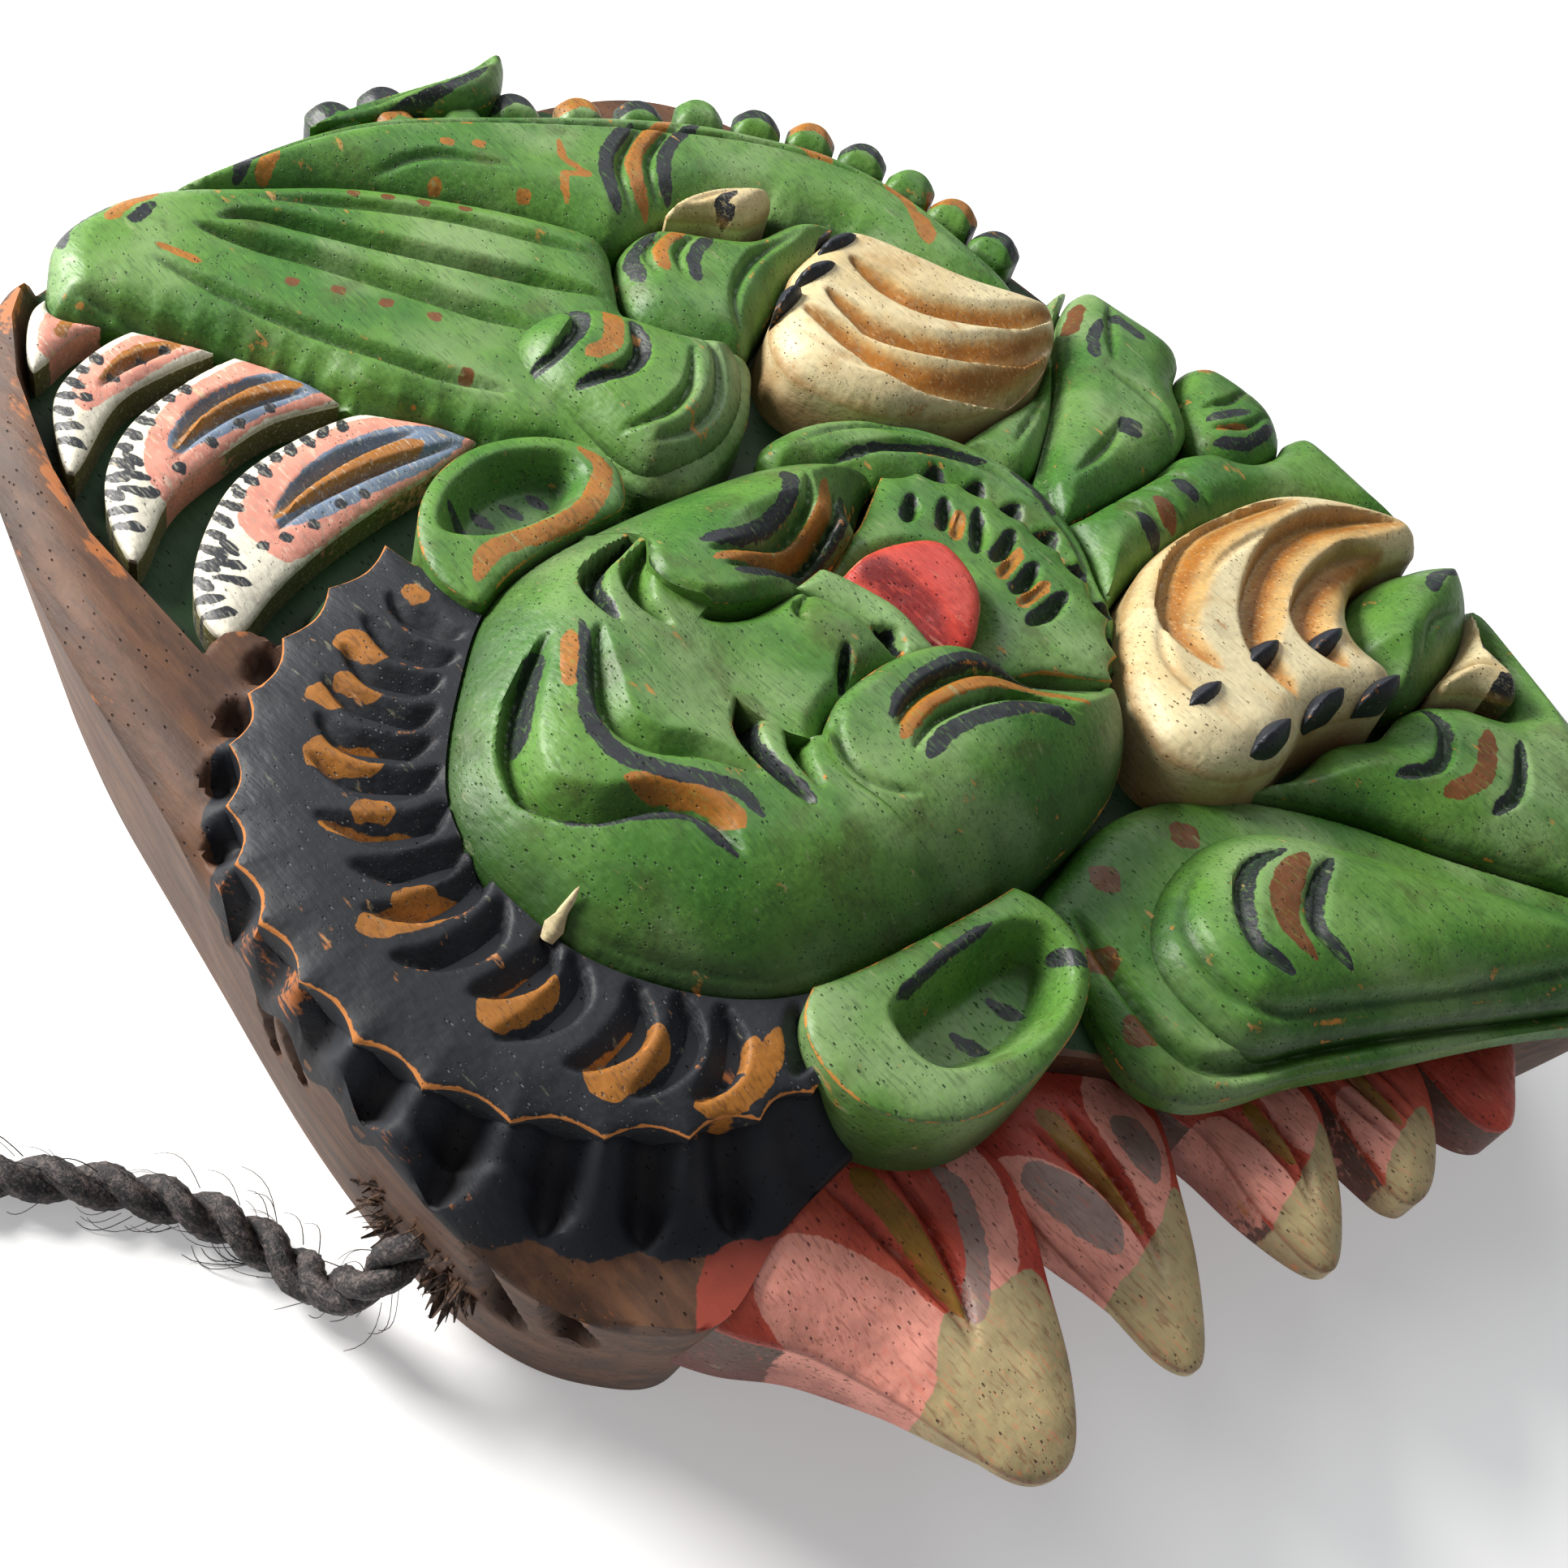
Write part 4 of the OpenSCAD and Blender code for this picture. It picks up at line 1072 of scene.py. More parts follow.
# ---- wings ----
def left_wing():
    """The lowered wing: its channelled arm and the rounded knob on it."""
    m = Marks()
    m.cut([(-37, -21), (-46, -18.6), (-54.5, -17), (-59.6, -20), (-64.5, -31), (-72, -46), (-80, -61),
           (-88, -78)], 3.4, 2.2, lean=0.3, ends=(0.1, 0.1), hollow=True)
    m.spots("brown", [(-51, -15.4), (-43, -19), (-36.5, -27.6), (-38.2, -41)], 2.1)
    carve("left_wing_arm", m, GREEN, drop=1.6, reach=4.0, edge=0.7, round_over=1.0, step=0.5)
    k = Marks()
    arcs = [[(-58, -31), (-53, -30.2), (-48.6, -34.2), (-46.4, -39.5), (-47.5, -45)],
            [(-61.5, -37.5), (-56, -38.2), (-52.7, -43.3), (-51.5, -48.5)]]
    k.barred(arcs, 2.6, 1.9, 0.6, 1.9)
    k.brush("brown", [(-58.4, -34.2), (-53.4, -35.4), (-50.3, -40), (-49.2, -46)], 3.6, ends=(0.5, 0.3))
    k.cut([(-41.8, -38), (-44.6, -29.6), (-50, -25.4), (-58, -26), (-64.5, -37), (-74, -55),
           (-84, -76)], 2.2, 1.6, lean=0.4, ends=(0.2, 0.1))
    carve("left_wing_knob", k, GREEN, drop=5.5, reach=9.0, edge=1.0, round_over=1.4, step=0.5)


def right_wing():
    """The raised wing: its fluted arm and the curled knob at its root."""
    m = Marks()
    for valley, width, depth in (
            ([(46, -16), (60, -3.5), (75, 6), (92, 18)], 2.6, 1.4),
            ([(53, -17), (66, -7), (80, 1.5), (92, 7)], 3.2, 2.0),
            ([(60, -29), (72, -20), (84, -11), (92, -4), (96, -1)], 5.2, 2.6),
            ([(63, -41), (76, -28), (84, -20), (94, -10), (96, -4)], 4.6, 2.6),
            ([(70, -46), (84, -33), (92, -22), (98, -11)], 3.4, 1.5)):
        m.cut(valley, width, depth, ends=(0.2, 0.2), hollow=True)
    m.spots("brown", [(68.7, -16.8), (73.3, -13), (77.7, -9.2), (81.3, -5), (58.5, -13.8),
                      (94.2, -23.2), (91.8, -26.8), (89, -30.5), (85.8, -34.8)], 1.0)
    m.brush("ochre", [(88.6, 2.6), (94, 5.4)], 1.2)
    m.brush("ochre", [(100, 8), (102.5, 4), (103.5, -1)], 2.2)
    m.brush("black", [(98.5, 5.8), (101.3, 1)], 1.8)
    m.brush("black", [(98, 15), (102, 12), (104.3, 4)], 1.6)
    plumes = np.vstack([rings_of(f"right_feather_{i + 1}")[0] for i in range(4)])[::2]

    def shape(p, to_edge):
        return -2.2 * (1 - np.clip(nearest(p + LAYOUT, plumes) / 8.0, 0, 1)) ** 2

    carve("right_wing_arm", m, GREEN, drop=2.0, reach=5.0, step=0.5, shape=shape)
    k = Marks()
    arcs = [[(48.5, -22), (47, -28), (49, -33), (54.5, -36)],
            [(54.5, -19.8), (54, -24), (57, -30), (62, -31)]]
    k.barred(arcs, 3.0, 2.0, 0.6, 2.2)
    k.brush("ochre", [(51.2, -25.5), (51.6, -30), (55.4, -33.6), (58, -34.4)], 2.6)
    k.cut([(36.5, -23.6), (36.4, -30), (38.8, -36.6), (44, -41.6), (50, -44)], 2.2, 1.8, lean=0.3)
    k.cut([(40.4, -22), (38.9, -27), (41.2, -34), (47, -40)], 2.2, 1.8, lean=0.3)
    carve("right_wing_knob", k, GREEN, drop=4.5, reach=7.0, edge=1.0, round_over=1.4, step=0.42)


def left_feathers():
    """The lowered wing's five coral feathers, which stand free of the board."""
    f = [Marks() for _ in range(5)]
    f[0].patch("olive", [(-74.6, 19), (-73, 25), (-63.5, 28.3), (-61, 24.6), (-57.4, 19.6),
                         (-58.8, 14.2), (-60.4, 8.4), (-68, 12)])
    # The lighter pink on these feathers is painted light
    f[0].patch("rose", [(-64, 28.2), (-57, 30), (-50, 33.6), (-44.5, 33), (-43, 27), (-48, 22.6),
                        (-55, 19.8), (-61.4, 20.2)])
    f[0].patch("rose", [(-61.4, 17.6), (-57, 15), (-53, 10.4), (-47, 8.4), (-45.2, 5.0), (-52, 4.6),
                        (-58.6, 9.4)])
    f[0].brush("mauve", [(-60, 17.6), (-55.4, 12.4), (-50.4, 9.6), (-46.5, 10.2)], 2.4)
    f[0].cut([(-61.9, 19.9), (-57.8, 18.4), (-50, 18.8), (-40, 21)], 1.7, 1.6, lean=0.4)
    f[0].cut([(-61.5, 19.2), (-55.6, 15.6), (-48.9, 13.9), (-41, 14.2)], 1.9, 1.9, lean=-0.4)
    f[0].brush("gold", [(-58.8, 18), (-50, 16.6), (-42, 17.4)], 3.0, ends=(0.5, 0.1))
    f[1].patch("olive", [(-78, 1), (-75.4, 5.6), (-67.6, 5.2), (-66.4, 0.4), (-65.6, -4.6),
                         (-64, -11), (-72, -7)])
    f[1].patch("rose", [(-68, 4.6), (-58, 5), (-50, 3.8), (-53, -0.8), (-60, -3.2), (-66.4, -1.8)])
    f[1].patch("rose", [(-66, -4.8), (-60, -7), (-52, -9.4), (-50, -13.4), (-58, -15), (-64, -10)])
    f[1].patch("mauve", [(-64.6, 0.6), (-60, 2.4), (-54, 2.6), (-52.4, 0.2), (-57, -2.4),
                         (-62.4, -2.4)])
    f[1].patch("mauve", [(-62.4, -9), (-58.4, -8.8), (-54.6, -10.6), (-56.6, -13), (-60.4, -12.4)])
    f[1].cut([(-69.4, -0.9), (-64.4, -3.3), (-57.8, -3.9), (-49, -2.4)], 1.7, 1.6, lean=0.4)
    f[1].cut([(-68.8, -1.8), (-62, -5.2), (-50, -7.8)], 1.8, 1.8, lean=-0.4)
    f[1].brush("gold", [(-65, -3.6), (-58, -5), (-49, -4.8)], 2.6, ends=(0.5, 0.1))
    f[2].patch("olive", [(-81.4, -19), (-79, -16), (-73.6, -16.6), (-72.4, -21), (-71.4, -26),
                         (-70, -31.4), (-76.4, -27)])
    f[2].patch("rose", [(-73.4, -17), (-66, -18), (-61, -18.6), (-63, -22), (-71, -22.6)])
    f[2].patch("rose", [(-71.4, -26.2), (-65, -26.8), (-60, -28), (-63, -31.6), (-69.4, -31.4)])
    f[2].cut([(-75.4, -20.6), (-72, -22.6), (-66.7, -23.3), (-60.6, -22)], 1.5, 1.4, lean=0.4)
    f[2].cut([(-75, -21.6), (-70, -25.2), (-63.3, -26.7)], 1.6, 1.6, lean=-0.4)
    f[2].brush("gold", [(-71, -23.8), (-63, -24.8)], 2.0, ends=(0.5, 0.1))
    f[3].patch("olive", [(-83, -36), (-82, -31.4), (-78.6, -32), (-76.6, -37), (-76.4, -43),
                         (-80, -42)])
    f[3].patch("rose", [(-78.4, -32.6), (-70, -35), (-70, -38), (-77, -37.4)])
    for y in (-35.6, -37.6, -39.6, -41.6):
        f[3].cut([(-78.4, y), (-72, y - 0.8), (-64, y - 1.0)], 1.1, 1.1)
    f[3].brush("gold", [(-76.5, -38.4), (-66, -39.4)], 2.0, ends=(0.5, 0.1))
    f[4].cut([(-81, -53), (-75, -54.4), (-70, -54.8)], 1.2, 0.9)
    block = rings_of("back_block")[0]
    block_size = (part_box("back_block")[1][0] / MM) / block[:, 0].max()
    root_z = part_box("left_feather_1")[0][2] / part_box("back_block")[1][2]
    block_edge = block * (1 + (block_size - 1) * root_z)

    def shape(p, to_edge):
        off_block = -ring_distance(block_edge, p + LAYOUT)
        return 2.4 * (1 - ease(off_block / 16.0))

    # Thick where a feather leaves the board, thin at its tip and its edges
    def thickness(p, to_edge):
        off_block = -ring_distance(block_edge, p + LAYOUT)
        return np.minimum(13.5, np.clip(10.5 - 0.36 * off_block, 1.0, 10.5) + 0.6 * to_edge)

    for i, marks in enumerate(f):
        carve(f"left_feather_{i + 1}", marks, PLUME, drop=1.4, reach=5.0, edge=0.35,
              round_over=0.5, step=0.42, under=thickness, soft=(block_edge,),
              shape=shape if i == 0 else None)


def right_feathers():
    """The raised wing's four white feathers, ticked with black, in the board's pocket."""
    f = [Marks() for _ in range(4)]
    f[0].patch("pink", [(44.6, 20.4), (48, 21.8), (52.6, 21.4), (57.4, 15.4), (59.6, 8), (60.2, 0),
                        (57, -8), (52, -11), (49.6, -3), (47.6, 8), (45.6, 15)])
    f[0].patch("blue", [(49.6, 18.4), (53, 15.6), (56.4, 9), (57.4, 2), (56.4, -5.4), (52.6, -9.4),
                        (50.2, -4), (49.2, 6), (48.2, 14)])
    f[0].brush("ochre", [(50.4, 18.4), (52.4, 12.5), (53.6, 4), (53.4, -4)], 2.8, ends=(0.5, 0.1))
    f[0].cut([(48.6, 19.4), (50.9, 13), (52.0, 4), (51.7, -8)], 1.9, 1.9, lean=0.5)
    f[0].cut([(50.6, 18.5), (54, 12), (55.8, 4), (55.4, -5)], 1.9, 1.9, lean=-0.5)
    f[1].patch("pink", [(58.4, 25.4), (62.4, 26), (67, 23.4), (71.6, 18), (74, 11), (74.4, 4),
                        (69, -1), (64.8, 0), (65.2, 9), (62.6, 17)])
    f[1].patch("blue", [(64.4, 21.6), (67.6, 19.8), (70.6, 14), (71.6, 7), (70.4, 1), (66.6, 0),
                        (66, 8), (64.6, 15)])
    f[1].brush("ochre", [(64.6, 21.6), (67.6, 16.4), (69.2, 9), (68.4, 2)], 2.4, ends=(0.5, 0.1))
    f[1].cut([(63, 22.8), (66, 17), (67.6, 10), (66.8, 2)], 1.7, 1.7, lean=0.5)
    f[1].cut([(64.8, 21.6), (69, 16), (70.8, 9), (70, 3)], 1.7, 1.7, lean=-0.5)
    f[2].patch("pink", [(74.4, 26), (78.4, 25.4), (82, 20), (83.6, 14), (82.6, 9), (79.4, 6),
                        (78.2, 13), (76.4, 20)])
    f[2].brush("ochre", [(78, 22.4), (80.4, 17), (80.8, 10)], 2.0, ends=(0.5, 0.1))
    f[2].cut([(77, 23), (79.2, 18), (80, 10.4)], 1.4, 1.4, lean=0.5)
    f[3].patch("pink", [(84.6, 24.6), (88, 24), (92, 20), (92.4, 17), (89, 13.4), (87.6, 16)])
    f[3].brush("ochre", [(87, 22), (90, 18.6)], 1.4)
    tick_rows = [[(39.6, 30), (44, 31), (50, 26.4), (56.6, 18.4), (60, 9), (60.4, 0)],
                 [(42.4, 27), (46.4, 26.8), (51, 23)], [(45, 23), (47.4, 22.8)],
                 [(54.4, 32), (60, 31.2), (66, 27.4), (71.6, 20.6), (75, 12)],
                 [(58.4, 28.6), (62.6, 27.8), (67.4, 24.4)],
                 [(68.6, 30.6), (74, 29), (79.6, 25), (83.4, 18)]]
    for row_number, row in enumerate(tick_rows):
        owner = 0 if row_number < 3 else (1 if row_number < 5 else 2)
        line = resample(smooth(row), 2.5)
        for k in range(1, len(line) - 1):
            run = line[k + 1] - line[k - 1]
            run = run / np.linalg.norm(run)
            slant = np.array([-run[1], run[0]]) * (1.2 + 0.45 * (k * 7 % 3))
            slant += run * (0.8 + 0.5 * (k % 2))
            ends = [tuple(line[k] - slant), tuple(line[k] + slant)]
            f[owner].brush("black", ends, 1.5, ends=(0.3, 0.7))
    f[0].spots("black", [(47.5, 21.5), (47.5, 18.7), (47.9, 15), (49.2, 10.5), (49.4, 7.2)], 0.8)
    f[1].spots("black", [(60.1, 26.7), (62.2, 22.2), (64.2, 17), (65.6, 12.5), (66.3, 8)], 0.8)
    f[2].spots("black", [(76.2, 25), (78, 20.6), (79.4, 16.2), (79.9, 12.9)], 0.8)
    for i, marks in enumerate(f):
        carve(f"right_feather_{i + 1}", marks, QUILL, drop=0.9, reach=4.0, edge=0.3, round_over=0.5,
              step=0.4)


# ---- body, sash and tail ----
def chest_ring():
    """The collar round the beard, scooped along the beard's cusps, with painted shadow in the scoops.
    """
    m = Marks()
    m.cut([(25.6, -43), (24.4, -50), (21, -57), (14.5, -62.4), (6, -64.2)], 2.6, 1.7, lean=-0.3)
    m.cut([(29.4, -42), (28.6, -51), (24.4, -58.6), (17, -64.2)], 1.8, 1.2)
    m.brush("black", [(25, -46), (23.5, -52), (20, -58), (14.5, -63.4)], 1.8)
    m.brush("black", [(3, -64), (8, -65.5), (12, -65.3)], 1.7)
    m.cut([(-15, -52), (-9, -58.6), (-2, -62.6), (5, -64)], 2.0, 1.2, hollow=True)
    for wide, middle, out in cusp_spans(BEARD_CUSPS):
        scoop = [tuple(middle + out * share) for share in (-1.5, 0.8, 3.2)]
        m.cut(scoop, 0.85 * wide, 4.0, ends=(0, 0.6), hollow=True)
        # Black painted shadow in each scoop
        m.brush("black", scoop, 0.7 * wide, ends=(0, 0.5))
    carve("chest_ring", m, GREEN, drop=2.6, reach=5.0)


def belly():
    m = Marks()
    m.patch("black", [(-7.6, -75), (-5.5, -73.6), (-2.4, -75), (-5.5, -77)])
    m.patch("black", [(-5.4, -86), (-3, -84.6), (-0.6, -86), (-3, -88)])
    m.patch("brown", [(-7, -79.5), (-5, -78), (-1.4, -80), (-4, -81.6)])
    for y in (-77.6, -82.6, -88.4):
        m.cut([(-8, y + 0.6), (-2, y), (4, y + 0.8)], 2.2, 1.0, hollow=True)
    m.cut([(2.4, -70), (2.6, -82), (1.4, -95)], 2.0, 1.4)
    carve("belly", m, GREEN, drop=3.4, reach=5.0)


def sash():
    m = Marks()
    m.cut([(4, -67.4), (10, -71.6), (16, -81), (23, -92)], 2.6, 1.8, lean=-0.3, ends=(0.2, 0.3))
    m.cut([(3.4, -93.4), (7, -96.4), (13, -97.6), (19, -96.6)], 2.4, 1.6, lean=0.4)
    m.cut([(7, -73), (8.4, -82), (11, -90)], 2.4, 1.2, hollow=True)
    m.cut([(20, -99), (26, -106), (30, -111)], 2.2, 1.3)
    m.patch("black", [(7, -88.6), (9, -86.8), (11.4, -89.2), (9, -91)])
    m.brush("black", [(22, -97), (25.4, -101), (27.4, -105.4)], 1.8)
    m.brush("black", [(21, -108), (28, -108)], 1.8)
    m.brush("brown", [(28.4, -99.6), (32.4, -107)], 2.2)
    m.brush("black", [(20, -72.5), (17, -76)], 1.6)
    carve("sash", m, GREEN, drop=2.8, reach=6.0)


def tail_stub():
    m = Marks()
    m.brush("black", [(2, -101.4), (-1, -106), (-0.6, -114)], 1.8)
    m.brush("black", [(5.4, -104), (3, -112)], 1.5)
    m.brush("ochre", [(3.2, -103.6), (0.9, -109.6)], 1.3)
    m.brush("ochre", [(13.4, -113.4), (11, -116.8)], 2.0)
    m.cut([(4.4, -102.4), (1.4, -108), (1.2, -115)], 1.6, 1.3)
    m.cut([(8, -105), (6, -111), (6.4, -117)], 1.6, 1.2)
    carve("tail_stub", m, GREEN, drop=3.2, reach=5.0)


def right_thigh():
    m = Marks()
    m.cut([(16, -72), (21, -84), (28, -96), (35, -106)], 1.6, 1.2, ends=(0.2, 0.2))
    carve("right_thigh", m, GREEN, drop=2.6, reach=3.5, edge=0.6, round_over=1.0)


# ---- hands and claws ----
def fingers(node, cuts, tan_width, extra, green_foot=None):
    """A cream hand whose fingers are parted by ochre cuts."""
    m = Marks()
    for line in cuts:
        m.cut(line, 6.0, 3.0, lean=0.72, ends=(0.25, 0.2))
        m.brush("tan", line, tan_width, ends=(0.3, 0.2))
        m.brush("ochre", line, 2.6, ends=(0.4, 0.3))
    for line in extra:
        m.cut(line, 1.8, 0.7)
    if green_foot:
        m.patch("green", green_foot)
    carve(node, m, IVORY, drop=3.4, reach=5.5, edge=1.2, round_over=1.6, step=0.4, flare=0.8)


def left_hand():
    fingers("left_hand",
            [[(-27, -58), (-20, -59.5), (-15, -67), (-12, -76), (-11.5, -85), (-14, -96)],
             [(-35, -63.6), (-28, -66.4), (-22.4, -75), (-19, -85), (-19, -94), (-21.5, -101),
              (-25, -108)],
             [(-36, -74), (-30, -75.4), (-26.6, -82), (-25.4, -92), (-26.4, -101)]],
            6.6,
            [[(-31, -51), (-22, -53.4), (-15.5, -61.4)], [(-17.4, -66), (-15.2, -76), (-15.6, -88)]])
    claws("left_claws")


def right_hand():
    fingers("right_hand",
            [[(25.5, -90), (24.9, -78), (27.7, -68), (34, -62.7), (47, -60.4)],
             [(28, -94), (27.8, -84), (31.3, -74), (38, -67.3), (48, -65.8)],
             [(31, -97), (32.4, -88), (36.4, -81), (42, -76.3), (52, -74.7)]],
            3.6,
            [[(29, -64), (36, -57.8), (45, -56)]],
            [(33, -97.4), (38, -92), (46, -88.6), (55, -83), (60, -82), (56, -88), (44, -94),
             (36, -99)])
    claws("right_claws")


def claws(node):
    """The hand's black nails, each a small crowned leaf."""
    carve(node, Marks(), CLAW, drop=2.4, reach=1.6, edge=0.3, round_over=0.5, step=0.3)


def grip_ball():
    m = Marks()
    m.brush("black", [(-35, -98), (-33.6, -103), (-34.6, -108)], 2.0)
    m.brush("black", [(-30.6, -106), (-31.6, -110)], 1.8)
    m.cut([(-41, -88), (-38, -94), (-38.6, -103)], 2.0, 0.8, hollow=True)
    carve("grip_ball", m, GREEN, drop=7.0, reach=8.0, step=0.4)


def thumb_claws():
    m = Marks()
    m.patch("black", [(-52.4, -95.4), (-49.6, -93.6), (-48.4, -97), (-51, -99)])
    m.patch("black", [(-47.4, -100.6), (-45, -98.6), (-43.6, -102), (-45.6, -103.6)])
    m.cut([(-50, -98), (-45.4, -96), (-43, -90)], 1.6, 1.2)
    carve("left_thumb_claw", m, IVORY, drop=2.8, reach=3.2, edge=0.6, round_over=0.9, step=0.36)
    r = Marks()
    r.brush("black", [(68.4, -68.4), (70.6, -67.6), (71.4, -71)], 1.7)
    r.cut([(73.6, -62.4), (72.6, -67), (71.6, -73)], 1.4, 1.0)
    carve("right_thumb_claw", r, IVORY, drop=3.0, reach=3.0, edge=0.6, round_over=0.9, step=0.34)


# ---- limbs, crest and fin ----
def left_limb():
    m = Marks()
    arcs = [[(-49, -69.5), (-51.5, -76), (-49, -82.5), (-44.6, -86.5)],
            [(-60, -76), (-60, -82.5), (-56, -90.5)]]
    m.barred(arcs, 2.4, 1.6, -0.5, 2.0)
    m.brush("brown", [(-54.6, -72.6), (-56, -79.6), (-52.4, -88)], 2.6)
    carve("left_limb", m, GREEN, drop=3.6, reach=8.0)


def right_limbs():
    m = Marks()
    m.brush("black", [(63.5, -47), (69, -50), (72, -57)], 2.0)
    m.brush("ochre", [(63, -50.6), (67.6, -53.6), (69.5, -60)], 2.0)
    m.brush("black", [(59.4, -53), (64, -56.6), (67, -63)], 2.0)
    m.cut([(62.8, -49), (68.4, -52), (71, -58.6)], 1.6, 1.4)
    m.cut([(61, -52), (66, -55.4), (68.4, -61.6)], 1.6, 1.4)
    m.cut([(50, -52.4), (56, -57), (61, -66), (63.4, -78)], 2.6, 1.4, hollow=True)
    carve("right_inner_limb", m, GREEN, drop=3.8, reach=6.0)
    k = Marks()
    k.brush("black", [(77, -54.5), (84, -58), (89, -63), (93, -71)], 2.2)
    k.brush("ochre", [(76, -59), (84, -63), (89, -70), (92, -78)], 2.4)
    k.brush("black", [(77, -64), (83, -68), (87, -74), (89.8, -82)], 2.2)
    k.cut([(76.6, -56.8), (84, -60.5), (89, -66.5), (92.6, -74.6)], 1.8, 1.6)
    k.cut([(76.4, -61.6), (83.6, -65.6), (88, -72), (90.8, -80)], 1.8, 1.6)
    k.brush("ochre", [(82, -49.4), (86, -52), (84.6, -55), (89, -54.4), (93.4, -57)], 1.2)
    k.spots("ochre", [(93, -35.5), (98, -41), (96, -45), (101.5, -47), (86, -45)], 1.1)
    k.brush("ochre", [(52.4, -94), (60, -98.4), (67, -100.4)], 3.0)
    k.brush("ochre", [(74, -95), (81, -93), (87, -88.6)], 2.8)
    k.brush("black", [(104, -12), (107.6, -18), (109.2, -26)], 1.8)
    k.brush("ochre", [(103, -15), (106, -19.6)], 2.0)
    k.cut([(105.6, -14), (106.8, -30), (103, -45), (96, -62), (89, -76), (80, -89), (68, -97.6),
           (54, -99.6), (42, -99)], 2.0, 1.3, ends=(0.1, 0.15), lean=0.5)
    k.cut([(98, -28), (96.6, -38), (90, -47)], 2.4, 1.0, hollow=True)
    carve("right_outer_limb", k, GREEN, drop=4.2, reach=8.0, step=0.5)


def crest_lobes():
    """The bead-like lobes of the crest, black, ochre and green by turns."""
    m = Marks()
    middle = np.array([30.0, -30.0])
    beads = []
    centres = [ring.mean(axis=0) for ring in rings_of("crest_lobes")]
    for i, centre in enumerate(sorted(centres, key=lambda c: -c[1])):
        out = (centre - LAYOUT - middle) / np.linalg.norm(centre - LAYOUT - middle)
        side = np.array([-out[1], out[0]])
        turn = np.linspace(0, 2 * math.pi, 60, endpoint=False)[:, None]
        square = (np.abs(np.cos(turn)) ** 4 + np.abs(np.sin(turn)) ** 4) ** -0.25
        square = np.where(np.cos(turn) > 0, 1.0, square)
        beads.append(centre + square * (out * 3.9 * np.cos(turn) + side * 3.9 * np.sin(turn)))
        colour = ("black", "ochre", "black", "green")[i % 4]
        cap = centre - LAYOUT + out * 1.0
        if colour != "green":
            m.brush(colour, [tuple(cap - side * 2.6), tuple(cap + out), tuple(cap + side * 2.6)], 5.4,
                    ends=(0, 0))

    def shape(p, to_edge):
        return np.full(len(p), 0.5)

    carve("crest_lobes", m, GREEN, drop=2.4, reach=2.8, edge=0.0, step=0.4, rings=beads, shape=shape,
          rub=0.2)


def fin():
    m = Marks()
    m.cut([(111, -31), (111.6, -44), (112.6, -55), (114.6, -63)], 2.8, 2.0, lean=0.4, ends=(0.3, 0.1))
    m.brush("black", [(109.6, -40), (109.4, -50), (111.6, -59)], 1.6)
    carve("fin", m, GREEN, drop=2.4, reach=3.0, edge=0.6, round_over=0.9, step=0.4)


# ---- the board ----
# Teardrop slots in the upper wall: thin end, middle and blunt end of each, x, y and height
WALL_SLOTS = [
    [(3.4, 49.6, 17.0), (4.2, 51.2, 25.0), (3.2, 53.0, 33.4)],
    [(-2.4, 50.8, 20.0), (-0.6, 51.8, 25.0), (-1.6, 53.2, 31.6)],
    [(-24.6, 53.4, 33.0), (-28.2, 50.9, 22.7), (-30.2, 48.6, 14.0)],
    [(-29.4, 52.4, 33.0), (-34.0, 50.6, 29.0), (-36.9, 46.4, 18.0)],
]
SLOT_DEPTH = 4.0
# The cusps between the flutes of the hair's skirt
HAIR_CUSPS = [(34.5, 27.2), (30.2, 34.4), (25.6, 39.6), (19.4, 44.1), (13.5, 47.0), (7.6, 48.9),
              (-0.2, 49.7), (-8.1, 48.9), (-15, 47.3), (-22.3, 43.3), (-28.2, 37.8), (-32.6, 31.8),
              (-35.2, 25.4)]
# Where wood without paint fills the gap between the rim and the hair
RIM_SEAM = [(35.4, 32.2), (29.4, 38.4), (23.6, 43), (14.7, 50)]
# A bare patch of the pocket's floor by the crest
BARE_PATCH = [(113, -70), (114, -84), (104, -98), (92, -104), (96, -96), (103, -84), (107, -74)]
# How far the rim's rounded edge falls
RIM_ROLL = 2.6


def rim_height(p, rim_top):
    """The rim's height, which is less towards the lowered wing."""
    return rim_top - 0.6 - 6.4 * ease((-4.0 - p[:, 0]) / 36.0)


def press_slots(wall, facing):
    """Press the slots into one row of wall points, and give the painted shade inside the slots at each
    point.
    """
    dark = np.zeros(len(wall))
    for slot in WALL_SLOTS:
        slot = smooth(slot, per_span=8) + np.array([LAYOUT[0], LAYOUT[1], 0])
        near = np.flatnonzero(nearest(wall, slot) < SLOT_DEPTH)
        if not len(near):
            continue
        dist, side, share = along(slot, wall[near])
        across = np.clip(1 - dist / (1.3 + 1.7 * share), 0, 1)
        wall[near] += facing[near] * (SLOT_DEPTH * ease(across * 1.5))[:, None]
        dark[near] = np.maximum(dark[near], ease(across * 3))
    return dark


def board_marks():
    """The flutes down the hair's skirt and the red ground of the lowered wing's feathers."""
    m = Marks()
    for wide, middle, out in cusp_spans(HAIR_CUSPS):
        start = middle - out * 1.5
        long = 4.0 + 4.5 * float(ease((8 - start[0]) / 20))
        flute = [tuple(start + out * long * share) for share in (0, 0.5, 1)]
        m.cut(flute, 0.95 * wide, 2.8, ends=(0, 0.3), hollow=True)
    m.patch("red", [(-50, 42), (-44, 40), (-39, 33), (-36, 22), (-40, 14), (-50, 12)])
    return m


